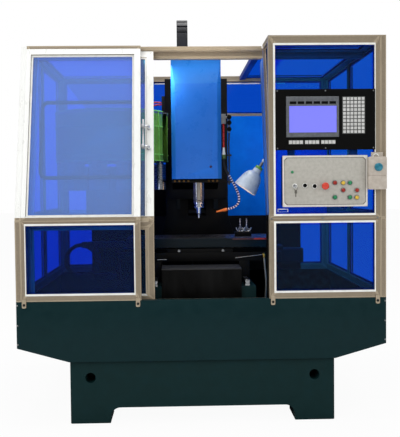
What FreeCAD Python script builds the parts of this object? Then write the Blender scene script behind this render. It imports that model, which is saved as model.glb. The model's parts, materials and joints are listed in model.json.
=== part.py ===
import FreeCAD, Part
import math
import os

# A vertical machining center in a light glazed enclosure.
# Millimetres. X runs to the operator's right, Y into the machine and Z up from the floor.
# Sizes are taken from the front of the chip tray (Y = 0) and its middle (X = 0). The finished
# pieces are then moved back by half the machine's depth, so that the origin is on the floor
# under the middle of the outline.

# Enclosure
enclosure_width = 2100.0
enclosure_depth = 1613.0
enclosure_top = 2192.0
side_frame_thick = 32.0
frame_depth = 36.0
bend_height = 1162.0
slope_setback = 294.0
lower_rail = 43.0
bend_rail = 26.0
top_rail = 55.0
outer_stile = 27.0
bay_inner_stile = 38.0
bay_right = -345.0
cabinet_wide = 667.0
cabinet_left = enclosure_width / 2 - cabinet_wide
cabinet_left_stile = 38.0
cabinet_right_stile = 34.0
side_post_y = 850.0
side_rail = 40.0
groove = 8.0
pane_edge_gap = 1.0
pane_thick = 4.0
pane_set = 18.0
bead_wide = 11.0
bead_deep = 8.0
roof_gap_half = 350.0
header_front = 388.0
header_deep = 40.0
header_tall = 66.0
rear_bay_x = 168.0
rear_rail_z = 1126.0
jamb_thick = 8.0
side_glass_deep = 30.0
jamb_deep = 84.0
jamb_top_clear = 86.138
lug_half = 12.0
lug_thick = 5.0
lug_drop = 36.0
lug_lap = 14.0
lug_hole_r = 4.5

# Chip tray and base casting
tray_rim = 708.0
tray_corner = 443.0
tray_sheet = 5.0
tray_ledge = 39.0
pedestal_half = 758.0
pedestal_top = 361.0
pedestal_front = 30.0
pedestal_rear = 1510.0
foot_wide = 229.0
arch_height = 89.0
arch_corner = 56.0
lift_hole_r = 29.0
lift_hole_x = 642.0
lift_hole_z = 263.0
lift_hole_deep = 160.0
bed_half = 320.0
bed_front = 130.0
bed_rear = 1500.0
bed_top = 765.0

# Column
column_half = 215.0
column_foot_half = 300.0
column_foot_z = 850.0
column_neck_z = 1150.0
column_front = 1000.0
column_rear = 1480.0
column_top = 2093.0
screw_bay_half = 60.0
screw_bay_deep = 100.0

# Guide rails and ball screws
rail_wide = 28.0
rail_tall = 35.0
y_rail_x = 270.0
y_rail_front = 140.0
y_rail_rear = 985.0
z_rail_x = 130.0
z_rail_tall = 30.0
z_rail_low = 1195.0
z_rail_high = 2080.0
x_rail_wide = 24.0
x_rail_tall = 22.0
rail_gap = 0.5
screw_r = 16.0
x_screw_r = 10.0
journal_gap = 0.3
y_screw_z = 815.0
z_screw_y = 1045.0

# Spindle axis, saddle and table
spindle_y = 560.0
saddle_half = 500.0
saddle_front = 350.0
saddle_rear = 770.0
saddle_bottom = 893.0
saddle_top = 946.0
table_half = 450.0
table_deep = 400.0
table_bottom = 976.0
table_thick = 56.0
slot_count = 3
slot_pitch = 125.0
slot_neck = 18.0
slot_neck_deep = 20.0
slot_foot = 30.0
slot_foot_deep = 12.0

# Spindle head
head_plate_half = 200.0
head_plate_y = 925.0
head_plate_thick = 35.0
head_plate_low = 1265.0
head_plate_high = 1655.0
housing_front = 480.0
housing_bottom = 1392.0
housing_top = 1690.0
lip_thick = 18.0
cartridge_r = 34.0
cartridge_end = 1262.0
shaft_r = 26.0
nose_ring_r = 33.0
nose_face = 1250.0
taper_r = 22.2
taper_long = 65.0
flange_r = 31.5
flange_tall = 34.0
holder_r = 14.0
cutter_r = 6.0
cutter_tip = 1150.0
cover_left = -168.0
cover_right = 142.0
cover_front = 442.0
cover_rear = 915.0
cover_bottom = 1397.0
cover_split = 1986.0
cover_top = 2160.0
cover_chamfer = 25.0
cover_sheet = 3.0
hood_lean = 30.0
motor_half = 85.0
motor_tall = 350.0

# Tool magazine
magazine_x = -550.0
magazine_y = 640.0
magazine_r = 356.0
magazine_bottom = 1510.0
magazine_top = 1823.0
magazine_sheet = 4.0
tool_circle_r = 315.0
tool_count = 12
stored_tool_r = 37.0
stored_tool_low = 1331.0
disc_low = 1522.0
disc_thick = 18.0
hub_r = 25.0

# Door
door_side_gap = 46.0
door_left = door_side_gap - enclosure_width / 2
door_right = -270.0
door_set = 48.0
door_thick = 30.0
door_bottom = 703.0
door_stile = 40.0
door_top_clear = 14.138
window_left = door_left + 69.0
window_right = door_right - 75.0
window_low_v = 262.0
window_high_v = 746.0
window_corner = 46.0
gasket_wide = 20.0
handle_inset = 59.0
handle_low_v = 420.0
handle_long = 183.0
handle_r = 6.0

# Control cabinet
control_left = cabinet_left + cabinet_left_stile
control_lap = 3.0
control_right = enclosure_width / 2 - side_frame_thick - cabinet_right_stile + control_lap
control_low = 1548.0
control_high = 1890.0
control_front = -6.0
panel_inset = 75.0
panel_wide = 483.0
panel_left = cabinet_left + panel_inset
panel_right = panel_left + panel_wide
panel_low = 1227.0
panel_high = 1517.0
panel_face = -12.0
panel_sheet = 3.0
button_r = 10.7
button_gap = 0.3
ring_r = 14.0
ring_tall = 8.0
button_proud = 13.0
key_cols = 6
key_rows = 10
pendant_face = -52.0
pendant_rear = -13.0
dial_r = 23.0
dial_tall = 12.0
electric_deep = 237.0
cabinet_rear = enclosure_depth + electric_deep


def vec(x, y, z):
    return FreeCAD.Vector(x, y, z)


def box(x0, x1, y0, y1, z0, z1):
    return Part.makeBox(x1 - x0, y1 - y0, z1 - z0, vec(x0, y0, z0))


def rod(radius, start, end):
    way = end - start
    return Part.makeCylinder(radius, way.Length, start, way)


def joined(shapes):
    whole = shapes[0].multiFuse(shapes[1:]) if len(shapes) > 1 else shapes[0]
    return whole.removeSplitter()


def revolved(profile, centre):
    """Turns (radius, height) pairs about the vertical line through centre."""
    corners = [vec(centre.x + r, centre.y, z) for r, z in profile]
    face = Part.Face(Part.makePolygon(corners + corners[:1]))
    return face.revolve(vec(centre.x, centre.y, 0), vec(0, 0, 1), 360)


# A sheet is a flat working plane: a corner, two directions along it and its depth direction.
def sheet(corner, u, v, n):
    return {"corner": corner, "u": u, "v": v, "n": n}


def at(plane, u, v, n=0.0):
    return plane["corner"] + plane["u"] * u + plane["v"] * v + plane["n"] * n


def prism(plane, points, near, far):
    corners = [at(plane, u, v, near) for u, v in points]
    face = Part.Face(Part.makePolygon(corners + corners[:1]))
    return face.extrude(plane["n"] * (far - near))


lean = math.atan2(slope_setback, enclosure_top - bend_height)
slope_long = math.hypot(slope_setback, enclosure_top - bend_height)
door_top_v = slope_long - door_top_clear
half_width = enclosure_width / 2
inner_half = half_width - side_frame_thick
front = sheet(vec(0, 0, 0), vec(1, 0, 0), vec(0, 0, 1), vec(0, 1, 0))
slope = sheet(vec(0, 0, bend_height), vec(1, 0, 0), vec(0, math.sin(lean), math.cos(lean)),
              vec(0, math.cos(lean), -math.sin(lean)))
left_side = sheet(vec(-half_width, 0, 0), vec(0, 1, 0), vec(0, 0, 1), vec(1, 0, 0))
right_side = sheet(vec(half_width, 0, 0), vec(0, 1, 0), vec(0, 0, 1), vec(-1, 0, 0))
rear = sheet(vec(0, enclosure_depth, 0), vec(1, 0, 0), vec(0, 0, 1), vec(0, -1, 0))
roof = sheet(vec(0, 0, enclosure_top), vec(1, 0, 0), vec(0, 1, 0), vec(0, 0, -1))
cabinet_side = sheet(vec(cabinet_left, 0, 0), vec(0, 1, 0), vec(0, 0, 1), vec(1, 0, 0))


def rectangle(u0, u1, v0, v1):
    return [(u0, v0), (u1, v0), (u1, v1), (u0, v1)]


def inset(points, widths):
    """Moves each side of a counter-clockwise outline inwards by its own width."""
    lines = []
    for i, (u, v) in enumerate(points):
        nu, nv = points[(i + 1) % len(points)]
        long = math.hypot(nu - u, nv - v)
        du, dv = (nu - u) / long, (nv - v) / long
        lines.append((u - dv * widths[i], v + du * widths[i], du, dv))
    corners = []
    for i, (u, v, du, dv) in enumerate(lines):
        pu, pv, pdu, pdv = lines[i - 1]
        cross = pdu * dv - pdv * du
        run = ((u - pu) * dv - (v - pv) * du) / cross
        corners.append((pu + pdu * run, pv + pdv * run))
    return corners


def framed(plane, points, widths, depth=frame_depth, seat=pane_set):
    """Mitred bars with a glazing groove along an outline, widths in the order of its sides."""
    grooved = inset(points, [w - groove for w in widths])
    slot = prism(plane, grooved, seat, seat + pane_thick)
    opening = inset(points, widths)
    bars = []
    for i in range(len(points)):
        j = (i + 1) % len(points)
        bar = prism(plane, [points[i], points[j], opening[j], opening[i]], 0, depth)
        bars.append(bar.cut(slot))
    return bars


def pane(plane, points, widths, seat=pane_set):
    outline = inset(points, [w - groove + pane_edge_gap for w in widths])
    return prism(plane, outline, seat, seat + pane_thick)


def bead(plane, points, widths, seat=pane_set):
    """The white strip that holds a pane in its frame, on the side of the plane's corner."""
    opening = inset(points, widths)
    inner = inset(points, [w + bead_wide for w in widths])
    strip = prism(plane, opening, seat - bead_deep, seat)
    return strip.cut(prism(plane, inner, seat - bead_deep, seat))


# Each glazed field: its plane, outline and bar widths.
bay_lower = (front, rectangle(-inner_half, bay_right, tray_rim, bend_height),
             [lower_rail, bay_inner_stile, bend_rail, outer_stile])
bay_upper = (slope, rectangle(-inner_half, bay_right, 0, slope_long),
             [bend_rail, bay_inner_stile, top_rail, outer_stile])
cabinet_lower = (front, rectangle(cabinet_left, inner_half, tray_rim, bend_height),
                 [lower_rail, cabinet_right_stile, bend_rail, cabinet_left_stile])
cabinet_upper = (front, rectangle(cabinet_left, inner_half, bend_height, enclosure_top),
                 [bend_rail, cabinet_right_stile, top_rail, cabinet_left_stile])


def slope_height(y):
    return bend_height + y * (enclosure_top - bend_height) / slope_setback


side_glass = (cabinet_side,
              [(frame_depth, slope_height(frame_depth)), (slope_setback, enclosure_top),
               (frame_depth, enclosure_top)], [12.0, 30.0, 10.0])


def side_fields(plane, slanted):
    widths = [lower_rail, side_rail / 2, side_rail, side_rail]
    lower_front = rectangle(0, side_post_y, tray_rim, bend_height)
    lower_rear = rectangle(side_post_y, enclosure_depth, tray_rim, bend_height)
    upper_front = rectangle(0, side_post_y, bend_height, enclosure_top)
    if slanted:
        upper_front[3] = (slope_setback, enclosure_top)
    upper_rear = rectangle(side_post_y, enclosure_depth, bend_height, enclosure_top)
    upper = [bend_rail, side_rail / 2, side_rail, side_rail]
    return [(plane, lower_front, [lower_rail, side_rail / 2, bend_rail, side_rail]),
            (plane, lower_rear, [lower_rail, side_rail, bend_rail, side_rail / 2]),
            (plane, upper_front, upper),
            (plane, upper_rear, [bend_rail, side_rail, side_rail, side_rail / 2])]


def rear_fields():
    left = rectangle(-inner_half, -rear_bay_x, tray_rim, rear_rail_z)
    middle = rectangle(-rear_bay_x, rear_bay_x, tray_rim, rear_rail_z)
    right = rectangle(rear_bay_x, inner_half, tray_rim, rear_rail_z)
    left_high = rectangle(-inner_half, -rear_bay_x, rear_rail_z, enclosure_top)
    middle_high = rectangle(-rear_bay_x, rear_bay_x, rear_rail_z, enclosure_top)
    right_high = rectangle(rear_bay_x, inner_half, electric_top, enclosure_top)
    widths = [lower_rail, side_rail, side_rail / 2, side_rail]
    high = [side_rail / 2, side_rail, side_rail, side_rail]
    return [(rear, left, widths), (rear, middle, widths), (rear, right, widths),
            (rear, left_high, high), (rear, middle_high, high), (rear, right_high, high)]


def roof_fields():
    back = enclosure_depth - frame_depth
    near = header_front + header_deep
    sides = [side_rail] * 4
    right = rectangle(roof_gap_half, inner_half, near, back)
    left = rectangle(-inner_half, -roof_gap_half, near, back)
    over_cabinet = rectangle(cabinet_left + side_glass_deep, inner_half, frame_depth, header_front)
    return [(roof, right, sides), (roof, left, sides), (roof, over_cabinet, sides)]


electric_top = 1888.0
fixed_fields = ([bay_lower, bay_upper, cabinet_lower]
                + side_fields(left_side, True) + side_fields(right_side, False)
                + rear_fields() + roof_fields())


def bars_of(fields, depth):
    return [bar for field in fields for bar in framed(*field, depth=depth)]


def left_bay_frame():
    """The bent bay left of the doorway, its two frames mitred against each other at the bend."""
    deep = frame_depth + 1
    drop = deep * math.tan(lean / 2)
    across = sheet(vec(-inner_half, 0, 0), vec(0, 1, 0), vec(0, 0, 1), vec(1, 0, 0))
    wide = bay_right + inner_half
    above = [(0, bend_height), (deep, bend_height - drop), (deep, bend_height + 1), (0, bend_height + 1)]
    below = [(0, bend_height), (0, bend_height - drop - 20), (deep, bend_height - drop - 20),
             (deep, bend_height - drop)]
    lower = [bar.cut(prism(across, above, 0, wide)) for bar in framed(*bay_lower)]
    return lower + [bar.cut(prism(across, below, 0, wide)) for bar in framed(*bay_upper)]


def base_casting():
    """The cast pedestal on four feet, with the narrower bed that carries the ways."""
    low = box(-pedestal_half, pedestal_half, pedestal_front, pedestal_rear, 0, pedestal_top)
    low = low.makeFillet(12, [e for e in low.Edges if abs(e.Length - pedestal_top) < 0.01])
    foot_inner = pedestal_half - foot_wide
    arch = box(-foot_inner, foot_inner, 0, pedestal_rear + pedestal_front, -arch_height, arch_height)
    side_arch = box(-pedestal_half - 1, pedestal_half + 1, pedestal_front + foot_wide,
                    pedestal_rear - foot_wide, -arch_height, arch_height)
    arch = arch.makeFillet(arch_corner, [e for e in arch.Edges if is_top_edge(e, vec(0, 1, 0))])
    side_arch = side_arch.makeFillet(
        arch_corner, [e for e in side_arch.Edges if is_top_edge(e, vec(1, 0, 0))])
    body = low.cut([arch, side_arch])
    holes = []
    for side in (-1, 1):
        x = side * lift_hole_x
        holes.append(rod(lift_hole_r, vec(x, pedestal_front, lift_hole_z),
                         vec(x, pedestal_front + lift_hole_deep, lift_hole_z)))
        holes.append(rod(lift_hole_r, vec(x, pedestal_rear - lift_hole_deep, lift_hole_z),
                         vec(x, pedestal_rear, lift_hole_z)))
    bed = box(-bed_half, bed_half, bed_front, bed_rear, pedestal_top, bed_top)
    trough = box(-bed_half + 90, bed_half - 90, bed_front + 150, column_front - 30,
                 bed_top - 40, bed_top)
    return [body.cut(holes), bed.cut(trough)]


def is_top_edge(edge, way):
    along = edge.Vertexes[1].Point - edge.Vertexes[0].Point
    return edge.BoundBox.ZMin > 0 and abs(along.normalize().dot(way)) > 0.99


def tray_section():
    """Outer and inner corners of the tray's right side, from the rim down to the floor."""
    flare = math.hypot(half_width - pedestal_half, tray_corner - pedestal_top)
    rise = tray_sheet * flare / (half_width - pedestal_half)
    slant = (tray_corner - pedestal_top) / (half_width - pedestal_half)
    outer = [(half_width, tray_rim), (half_width, tray_corner), (pedestal_half, pedestal_top)]
    inner = [(half_width - tray_sheet, tray_rim),
             (half_width - tray_sheet, tray_corner + rise - tray_sheet * slant),
             (pedestal_half + (tray_sheet - rise) / slant, pedestal_top + tray_sheet)]
    return outer, inner


def tray_ledges():
    """Four strips that stiffen the tray's rim."""
    reach = tray_sheet + tray_ledge
    low = tray_rim - tray_sheet
    rear = enclosure_depth - tray_sheet
    strips = [box(-half_width + tray_sheet, half_width - tray_sheet, a, b, low, tray_rim)
              for a, b in ((tray_sheet, reach), (rear - tray_ledge, rear))]
    for side in (-1, 1):
        a, b = sorted((side * (half_width - tray_sheet), side * (half_width - reach)))
        strips.append(box(a, b, reach, rear - tray_ledge, low, tray_rim))
    return strips


def chip_tray():
    """Welded from boards: end plates, upright walls, flared underside, floor strips and ledges."""
    outer, inner = tray_section()
    rear = enclosure_depth - tray_sheet
    whole = [(-x, z) for x, z in outer] + outer[::-1]
    boards = [prism(front, whole, 0, tray_sheet), prism(front, whole, rear, enclosure_depth)]
    for k in (0, 1):
        section = [outer[k], outer[k + 1], inner[k + 1], inner[k]]
        boards.append(prism(front, section, tray_sheet, rear))
        boards.append(prism(front, [(-x, z) for x, z in section], tray_sheet, rear))
    floor_edge, floor_inner = outer[2], inner[2]
    strip = [(bed_half, floor_edge[1]), floor_edge, floor_inner, (bed_half, floor_inner[1])]
    boards.append(prism(front, strip, tray_sheet, rear))
    boards.append(prism(front, [(-x, z) for x, z in strip], tray_sheet, rear))
    for a, b in ((tray_sheet, bed_front), (bed_rear, rear)):
        boards.append(box(-bed_half, bed_half, a, b, floor_edge[1], floor_inner[1]))
    return boards + tray_ledges()


def column():
    outline = [(-column_foot_half, bed_top), (column_foot_half, bed_top),
               (column_foot_half, column_foot_z), (column_half, column_neck_z),
               (column_half, column_top), (-column_half, column_top),
               (-column_half, column_neck_z), (-column_foot_half, column_foot_z)]
    body = prism(front, outline, column_front, column_rear)
    bay = box(-screw_bay_half, screw_bay_half, column_front, column_front + screw_bay_deep,
              column_neck_z, column_top)
    cores = [box(-column_half, -column_half + 40, column_front + 120, column_rear - 120, z, z + 220)
             for z in (1250, 1530, 1810)]
    cores += [core.mirror(vec(0, 0, 0), vec(1, 0, 0)) for core in cores]
    return body.cut([bay] + cores)


def rail_section(wide, tall):
    waist = wide * 0.4
    return [(-wide / 2, 0), (wide / 2, 0), (wide / 2, tall * 0.3), (waist, tall * 0.42),
            (waist, tall * 0.62), (wide / 2, tall * 0.74), (wide / 2, tall), (-wide / 2, tall),
            (-wide / 2, tall * 0.74), (-waist, tall * 0.62), (-waist, tall * 0.42),
            (-wide / 2, tall * 0.3)]


def guide_rails():
    rails = []
    for side in (-1, 1):
        ground = sheet(vec(side * y_rail_x, y_rail_front, bed_top),
                       vec(1, 0, 0), vec(0, 0, 1), vec(0, 1, 0))
        rails.append(prism(ground, rail_section(rail_wide, rail_tall), 0,
                           y_rail_rear - y_rail_front))
        upright = sheet(vec(side * z_rail_x, column_front, z_rail_low),
                        vec(1, 0, 0), vec(0, -1, 0), vec(0, 0, 1))
        rails.append(prism(upright, rail_section(rail_wide, z_rail_tall), 0,
                           z_rail_high - z_rail_low))
    return rails


y_motor_half = 45.0
y_bracket_front = 240.0
bracket_thick = 22.0
y_bearing_y = 935.0
z_plate_thick = 17.0
z_bearing_z = 1165.0
z_motor_half = 50.0
z_motor_tall = 180.0


def axis_motors():
    """The motors of the Y and Z axes with the bearing blocks of their screws."""
    low, high = y_screw_z - y_motor_half, y_screw_z + y_motor_half
    y_motor = box(-y_motor_half, y_motor_half, y_rail_front, y_bracket_front, low, high)
    y_motor = y_motor.makeChamfer(10, [e for e in y_motor.Edges if runs_along(e, vec(0, 1, 0))])
    journal = screw_r + journal_gap
    bracket = box(-y_motor_half - 10, y_motor_half + 10, y_bracket_front,
                  y_bracket_front + bracket_thick, bed_top, high)
    trough_floor = bed_top - 40
    block = box(-40, 40, y_bearing_y, y_bearing_y + bracket_thick, trough_floor, y_screw_z + 40)
    y_axis = rod(journal, vec(0, y_bracket_front + 8, y_screw_z),
                 vec(0, y_bearing_y + bracket_thick - 8, y_screw_z))
    z_plate = box(-53, 70, column_front, column_front + screw_bay_deep, column_top,
                  column_top + z_plate_thick)
    z_motor_low = column_top + z_plate_thick
    z_motor = box(-z_motor_half, z_motor_half, z_screw_y - z_motor_half, z_screw_y + z_motor_half,
                  z_motor_low, z_motor_low + z_motor_tall)
    z_motor = z_motor.makeChamfer(12, [e for e in z_motor.Edges if runs_along(e, vec(0, 0, 1))])
    z_block = box(-screw_bay_half, screw_bay_half, column_front + 10,
                  column_front + screw_bay_deep, z_bearing_z, z_bearing_z + bracket_thick)
    z_axis = rod(journal, vec(0, z_screw_y, z_bearing_z + 8), vec(0, z_screw_y, column_top + 8))
    return [joined([y_motor, bracket]).cut(y_axis), block.cut(y_axis),
            joined([z_plate, z_motor]).cut(z_axis), z_block.cut(z_axis)]


def runs_along(edge, way):
    along = edge.Vertexes[1].Point - edge.Vertexes[0].Point
    return abs(along.normalize().dot(way)) > 0.99


def y_screw():
    return rod(screw_r, vec(0, y_bracket_front + 8.5, y_screw_z),
               vec(0, y_bearing_y + bracket_thick - 8.5, y_screw_z))


def z_screw():
    return rod(screw_r, vec(0, z_screw_y, z_bearing_z + 8.5), vec(0, z_screw_y, column_top + 7.5))


x_screw_z = 960.0
x_block = 15.0
nut_half = 30.0
carriage_gap = 4.0


def x_screw():
    return rod(x_screw_r, vec(-saddle_half + 5, spindle_y, x_screw_z),
               vec(saddle_half - 5, spindle_y, x_screw_z))


saddle_pad = 120.0
pad_half = 32.0
x_rail_offset = 130.0
chain_y = 530.0
chain_wide = 60.0
chain_thick = 36.0
x_chain_low = 790.0
x_chain_high = 990.0


def saddle():
    """The cross slide: a cast slab on four carriages, with rails and screw blocks on top."""
    slab = box(-saddle_half, saddle_half, saddle_front, saddle_rear, saddle_bottom, saddle_top)
    slab = slab.makeChamfer(8, [e for e in slab.Edges if runs_along(e, vec(0, 0, 1))])
    channel_top = bed_top + rail_tall + rail_gap
    carriages = []
    for side in (-1, 1):
        x = side * y_rail_x
        half = rail_wide / 2 + rail_gap
        channel = box(x - half, x + half, saddle_front, saddle_rear, bed_top, channel_top)
        for y in (saddle_front, saddle_rear - saddle_pad):
            pad = box(x - pad_half, x + pad_half, y, y + saddle_pad, bed_top + 13, saddle_bottom)
            carriages.append(pad.cut(channel))
    nut = box(-40, 40, spindle_y - 15, spindle_y + 15, y_screw_z - 25, saddle_bottom)
    nut = nut.cut(rod(screw_r + journal_gap, vec(0, spindle_y - 15, y_screw_z),
                      vec(0, spindle_y + 15, y_screw_z)))
    arm = box(-saddle_half - 20, -saddle_half, chain_y - chain_wide / 2, chain_y + chain_wide / 2,
              x_chain_low - chain_thick / 2, saddle_top)
    rails = []
    for side in (-1, 1):
        top = sheet(vec(-saddle_half + 5, spindle_y + side * x_rail_offset, saddle_top),
                    vec(0, 1, 0), vec(0, 0, 1), vec(1, 0, 0))
        rails.append(prism(top, rail_section(x_rail_wide, x_rail_tall), 0, 2 * saddle_half - 10))
    journal = rod(x_screw_r + journal_gap, vec(-saddle_half + 4, spindle_y, x_screw_z),
                  vec(saddle_half - 4, spindle_y, x_screw_z))
    blocks = [box(x, x + x_block, spindle_y - 20, spindle_y + 20, saddle_top, table_bottom - 6)
              .cut(journal) for x in (-saddle_half, saddle_half - x_block)]
    strip = box(-200, 200, saddle_front + 2, saddle_front + 8, saddle_top, saddle_top + 22)
    studs = [rod(8, vec(x, saddle_front + 2, saddle_top + 12), vec(x, saddle_front - 14, saddle_top + 12))
             for x in (-129, 139)]
    return [slab] + carriages + [nut, arm] + rails + blocks + [strip] + studs


def x_motor():
    drive = box(saddle_half, saddle_half + 30, spindle_y - 55, spindle_y + 55, 860, table_bottom - 3)
    drive = drive.makeFillet(12, [e for e in drive.Edges if runs_along(e, vec(1, 0, 0))])
    body = box(saddle_half + 30, saddle_half + 160, spindle_y - 45, spindle_y + 45, 862, 952)
    body = body.makeChamfer(10, [e for e in body.Edges if runs_along(e, vec(1, 0, 0))])
    return joined([drive, body])


def table():
    """The slotted table, cut from one profile, with its carriages and screw nut."""
    near = spindle_y - table_deep / 2
    far = spindle_y + table_deep / 2
    top = table_bottom + table_thick
    outline = [(near, table_bottom), (far, table_bottom), (far, top)]
    for i in reversed(range(slot_count)):
        middle = spindle_y + (i - (slot_count - 1) / 2) * slot_pitch
        neck, foot = slot_neck / 2, slot_foot / 2
        throat = top - slot_neck_deep
        floor = throat - slot_foot_deep
        outline += [(middle + neck, top), (middle + neck, throat), (middle + foot, throat),
                    (middle + foot, floor), (middle - foot, floor), (middle - foot, throat),
                    (middle - neck, throat), (middle - neck, top)]
    outline.append((near, top))
    across = sheet(vec(-table_half, 0, 0), vec(0, 1, 0), vec(0, 0, 1), vec(1, 0, 0))
    slab = prism(across, outline, 0, 2 * table_half)
    carriages = []
    for side in (-1, 1):
        y = spindle_y + side * x_rail_offset
        half = x_rail_wide / 2 + rail_gap
        for x in (-140, 40):
            block = box(x, x + 100, y - 25, y + 25, saddle_top + carriage_gap, table_bottom)
            carriages.append(block.cut(box(x, x + 100, y - half, y + half, saddle_top,
                                           saddle_top + x_rail_tall + rail_gap)))
    nut = box(-nut_half, nut_half, spindle_y - 22, spindle_y + 22, saddle_top + 1, table_bottom)
    bore = rod(x_screw_r + journal_gap, vec(-nut_half, spindle_y, x_screw_z),
               vec(nut_half, spindle_y, x_screw_z))
    return [slab] + carriages + [nut.cut(bore)]


clamp_x = 280.0
clamp_base_half = 52.0
clamp_base_tall = 26.0
stud_top = 1143.0


def clamp_set():
    """A riser block with two studs, straps and nuts, standing on the table."""
    top = table_bottom + table_thick
    base = box(clamp_x - clamp_base_half, clamp_x + clamp_base_half, spindle_y - 30,
               spindle_y + 30, top, top + clamp_base_tall)
    pieces = [base.makeChamfer(4, [e for e in base.Edges if runs_along(e, vec(0, 0, 1))])]
    level = top + clamp_base_tall
    for x in (clamp_x - 17, clamp_x + 24):
        stud = rod(4.5, vec(x, spindle_y, level), vec(x, spindle_y, stud_top))
        hook = Part.makeTorus(11, 4, vec(x, spindle_y, level + 15), vec(0, 1, 0))
        nut = rod(9, vec(x, spindle_y, level + 26), vec(x, spindle_y, level + 38))
        pieces.append(joined([stud, hook, nut]))
    return pieces


def spindle_centre():
    return vec(0, spindle_y, 0)


def head_casting():
    """Back plate with four carriages, screw nut, nose housing and the fixed spindle cartridge."""
    plate = box(-head_plate_half, head_plate_half, head_plate_y, head_plate_y + head_plate_thick,
                head_plate_low, head_plate_high)
    plate = plate.makeChamfer(10, [e for e in plate.Edges if runs_along(e, vec(0, 1, 0))])
    profile = [(housing_front, housing_bottom), (housing_front + 240, housing_bottom),
               (head_plate_y, housing_bottom - 60), (head_plate_y, housing_top - 40),
               (head_plate_y - 60, housing_top), (housing_front, housing_top)]
    left, right = cover_left + cover_sheet, cover_right - cover_sheet
    across = sheet(vec(left, 0, 0), vec(0, 1, 0), vec(0, 0, 1), vec(1, 0, 0))
    housing = prism(across, profile, 0, right - left)
    lip = box(cover_left, cover_right + 30, housing_front - 10, housing_front + 180,
              housing_bottom - lip_thick, housing_bottom)
    parts = [plate, housing, lip]
    cuts = []
    back = head_plate_y + head_plate_thick
    for side in (-1, 1):
        x = side * z_rail_x
        for z in (head_plate_low + 15, head_plate_high - 115):
            parts.append(box(x - 30, x + 30, back, column_front - 8, z, z + 100))
        half = rail_wide / 2 + rail_gap
        cuts.append(box(x - half, x + half, column_front - z_rail_tall - rail_gap, column_front,
                        head_plate_low, head_plate_high))
    nut_low = head_plate_low + 175
    parts.append(box(-45, 45, back, z_screw_y + 40, nut_low, nut_low + 80))
    cuts.append(rod(screw_r + journal_gap, vec(0, z_screw_y, nut_low),
                    vec(0, z_screw_y, nut_low + 80)))
    cuts.append(rod(cartridge_r, vec(0, spindle_y, housing_bottom - lip_thick),
                    vec(0, spindle_y, housing_top)))
    return [joined(parts).cut(cuts), spindle_cartridge()]


def spindle_cartridge():
    bore = shaft_r + journal_gap
    profile = [(bore, cartridge_end), (cartridge_r - 2, cartridge_end),
               (cartridge_r, cartridge_end + 2), (cartridge_r, housing_top), (bore, housing_top)]
    return revolved(profile, spindle_centre())


def spindle():
    """The turning shaft with its nose ring and the taper that takes the tool."""
    taper_end = taper_r - taper_long * 7 / 48
    profile = [(taper_r, nose_face), (nose_ring_r, nose_face), (nose_ring_r, cartridge_end - 0.5),
               (shaft_r, cartridge_end - 0.5), (shaft_r, housing_top - 5), (0, housing_top - 5),
               (0, nose_face + taper_long), (taper_end, nose_face + taper_long)]
    return revolved(profile, spindle_centre())


def tool_holder():
    """Tapered holder with a gripper groove in its flange, collet nut and end mill."""
    fit = 0.2
    taper_end = taper_r - taper_long * 7 / 48
    low = nose_face - flange_tall
    profile = [(0, cutter_tip), (cutter_r, cutter_tip), (cutter_r, cutter_tip + 24),
               (holder_r - 3, cutter_tip + 24), (holder_r, cutter_tip + 30), (holder_r, low),
               (flange_r, low), (flange_r, low + 9), (flange_r - 5, low + 13),
               (flange_r - 5, low + 18), (flange_r, low + 22), (flange_r, nose_face - 0.5),
               (taper_r - fit, nose_face - 0.5), (taper_end - fit, nose_face + taper_long - 2),
               (0, nose_face + taper_long - 2)]
    return revolved(profile, spindle_centre())


def spindle_motor():
    low, high = housing_top, housing_top + motor_tall
    body = box(-motor_half, motor_half, spindle_y - motor_half, spindle_y + motor_half, low + 12, high)
    body = body.makeChamfer(22, [e for e in body.Edges if runs_along(e, vec(0, 0, 1))])
    flange = box(-motor_half - 15, motor_half + 15, spindle_y - motor_half + 8,
                 spindle_y + motor_half + 15, low, low + 12)
    cap = Part.makeCone(motor_half - 10, motor_half - 25, 30, vec(0, spindle_y, high))
    return joined([body, flange, cap])


def cover_outline(grow):
    left, right = cover_left - grow, cover_right + grow
    near = cover_front - grow
    cut = cover_chamfer + grow * (2 - math.sqrt(2))
    return [(left, cover_rear), (left, near + cut), (left + cut, near), (right - cut, near),
            (right, near + cut), (right, cover_rear)]


knob_x = 74.0
knob_z = 1471.0


def head_cover():
    """The folded cover round the head: a lower box, and a hood whose front leans back."""
    level = sheet(vec(0, 0, 0), vec(1, 0, 0), vec(0, 1, 0), vec(0, 0, 1))
    lower = prism(level, cover_outline(0), cover_bottom, cover_split)
    lower = lower.cut(prism(level, cover_outline(-cover_sheet), cover_bottom, cover_split))
    lower = lower.cut(rod(8, vec(knob_x, cover_front - 1, knob_z),
                          vec(knob_x, cover_front + cover_sheet + 1, knob_z)))
    hood = prism(level, cover_outline(0), cover_split, cover_top)
    inside = prism(level, cover_outline(-cover_sheet), cover_split, cover_top - cover_sheet)
    wedge = [(cover_front, cover_split), (cover_front + hood_lean, cover_top),
             (cover_front - hood_lean, cover_top), (cover_front - hood_lean, cover_split)]
    inner_wedge = [(y + cover_sheet, z) for y, z in wedge]
    across = sheet(vec(cover_left, 0, 0), vec(0, 1, 0), vec(0, 0, 1), vec(1, 0, 0))
    wide = cover_right - cover_left
    hood = hood.cut(prism(across, wedge, 0, wide))
    hood = hood.cut(inside.cut(prism(across, inner_wedge, 0, wide)))
    return [lower, hood]


manifold_y = 495.0
valve_x = 192.0
valve_z = (1779.0, 1744.0, 1704.0)
valve_knob_r = 14.0


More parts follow.
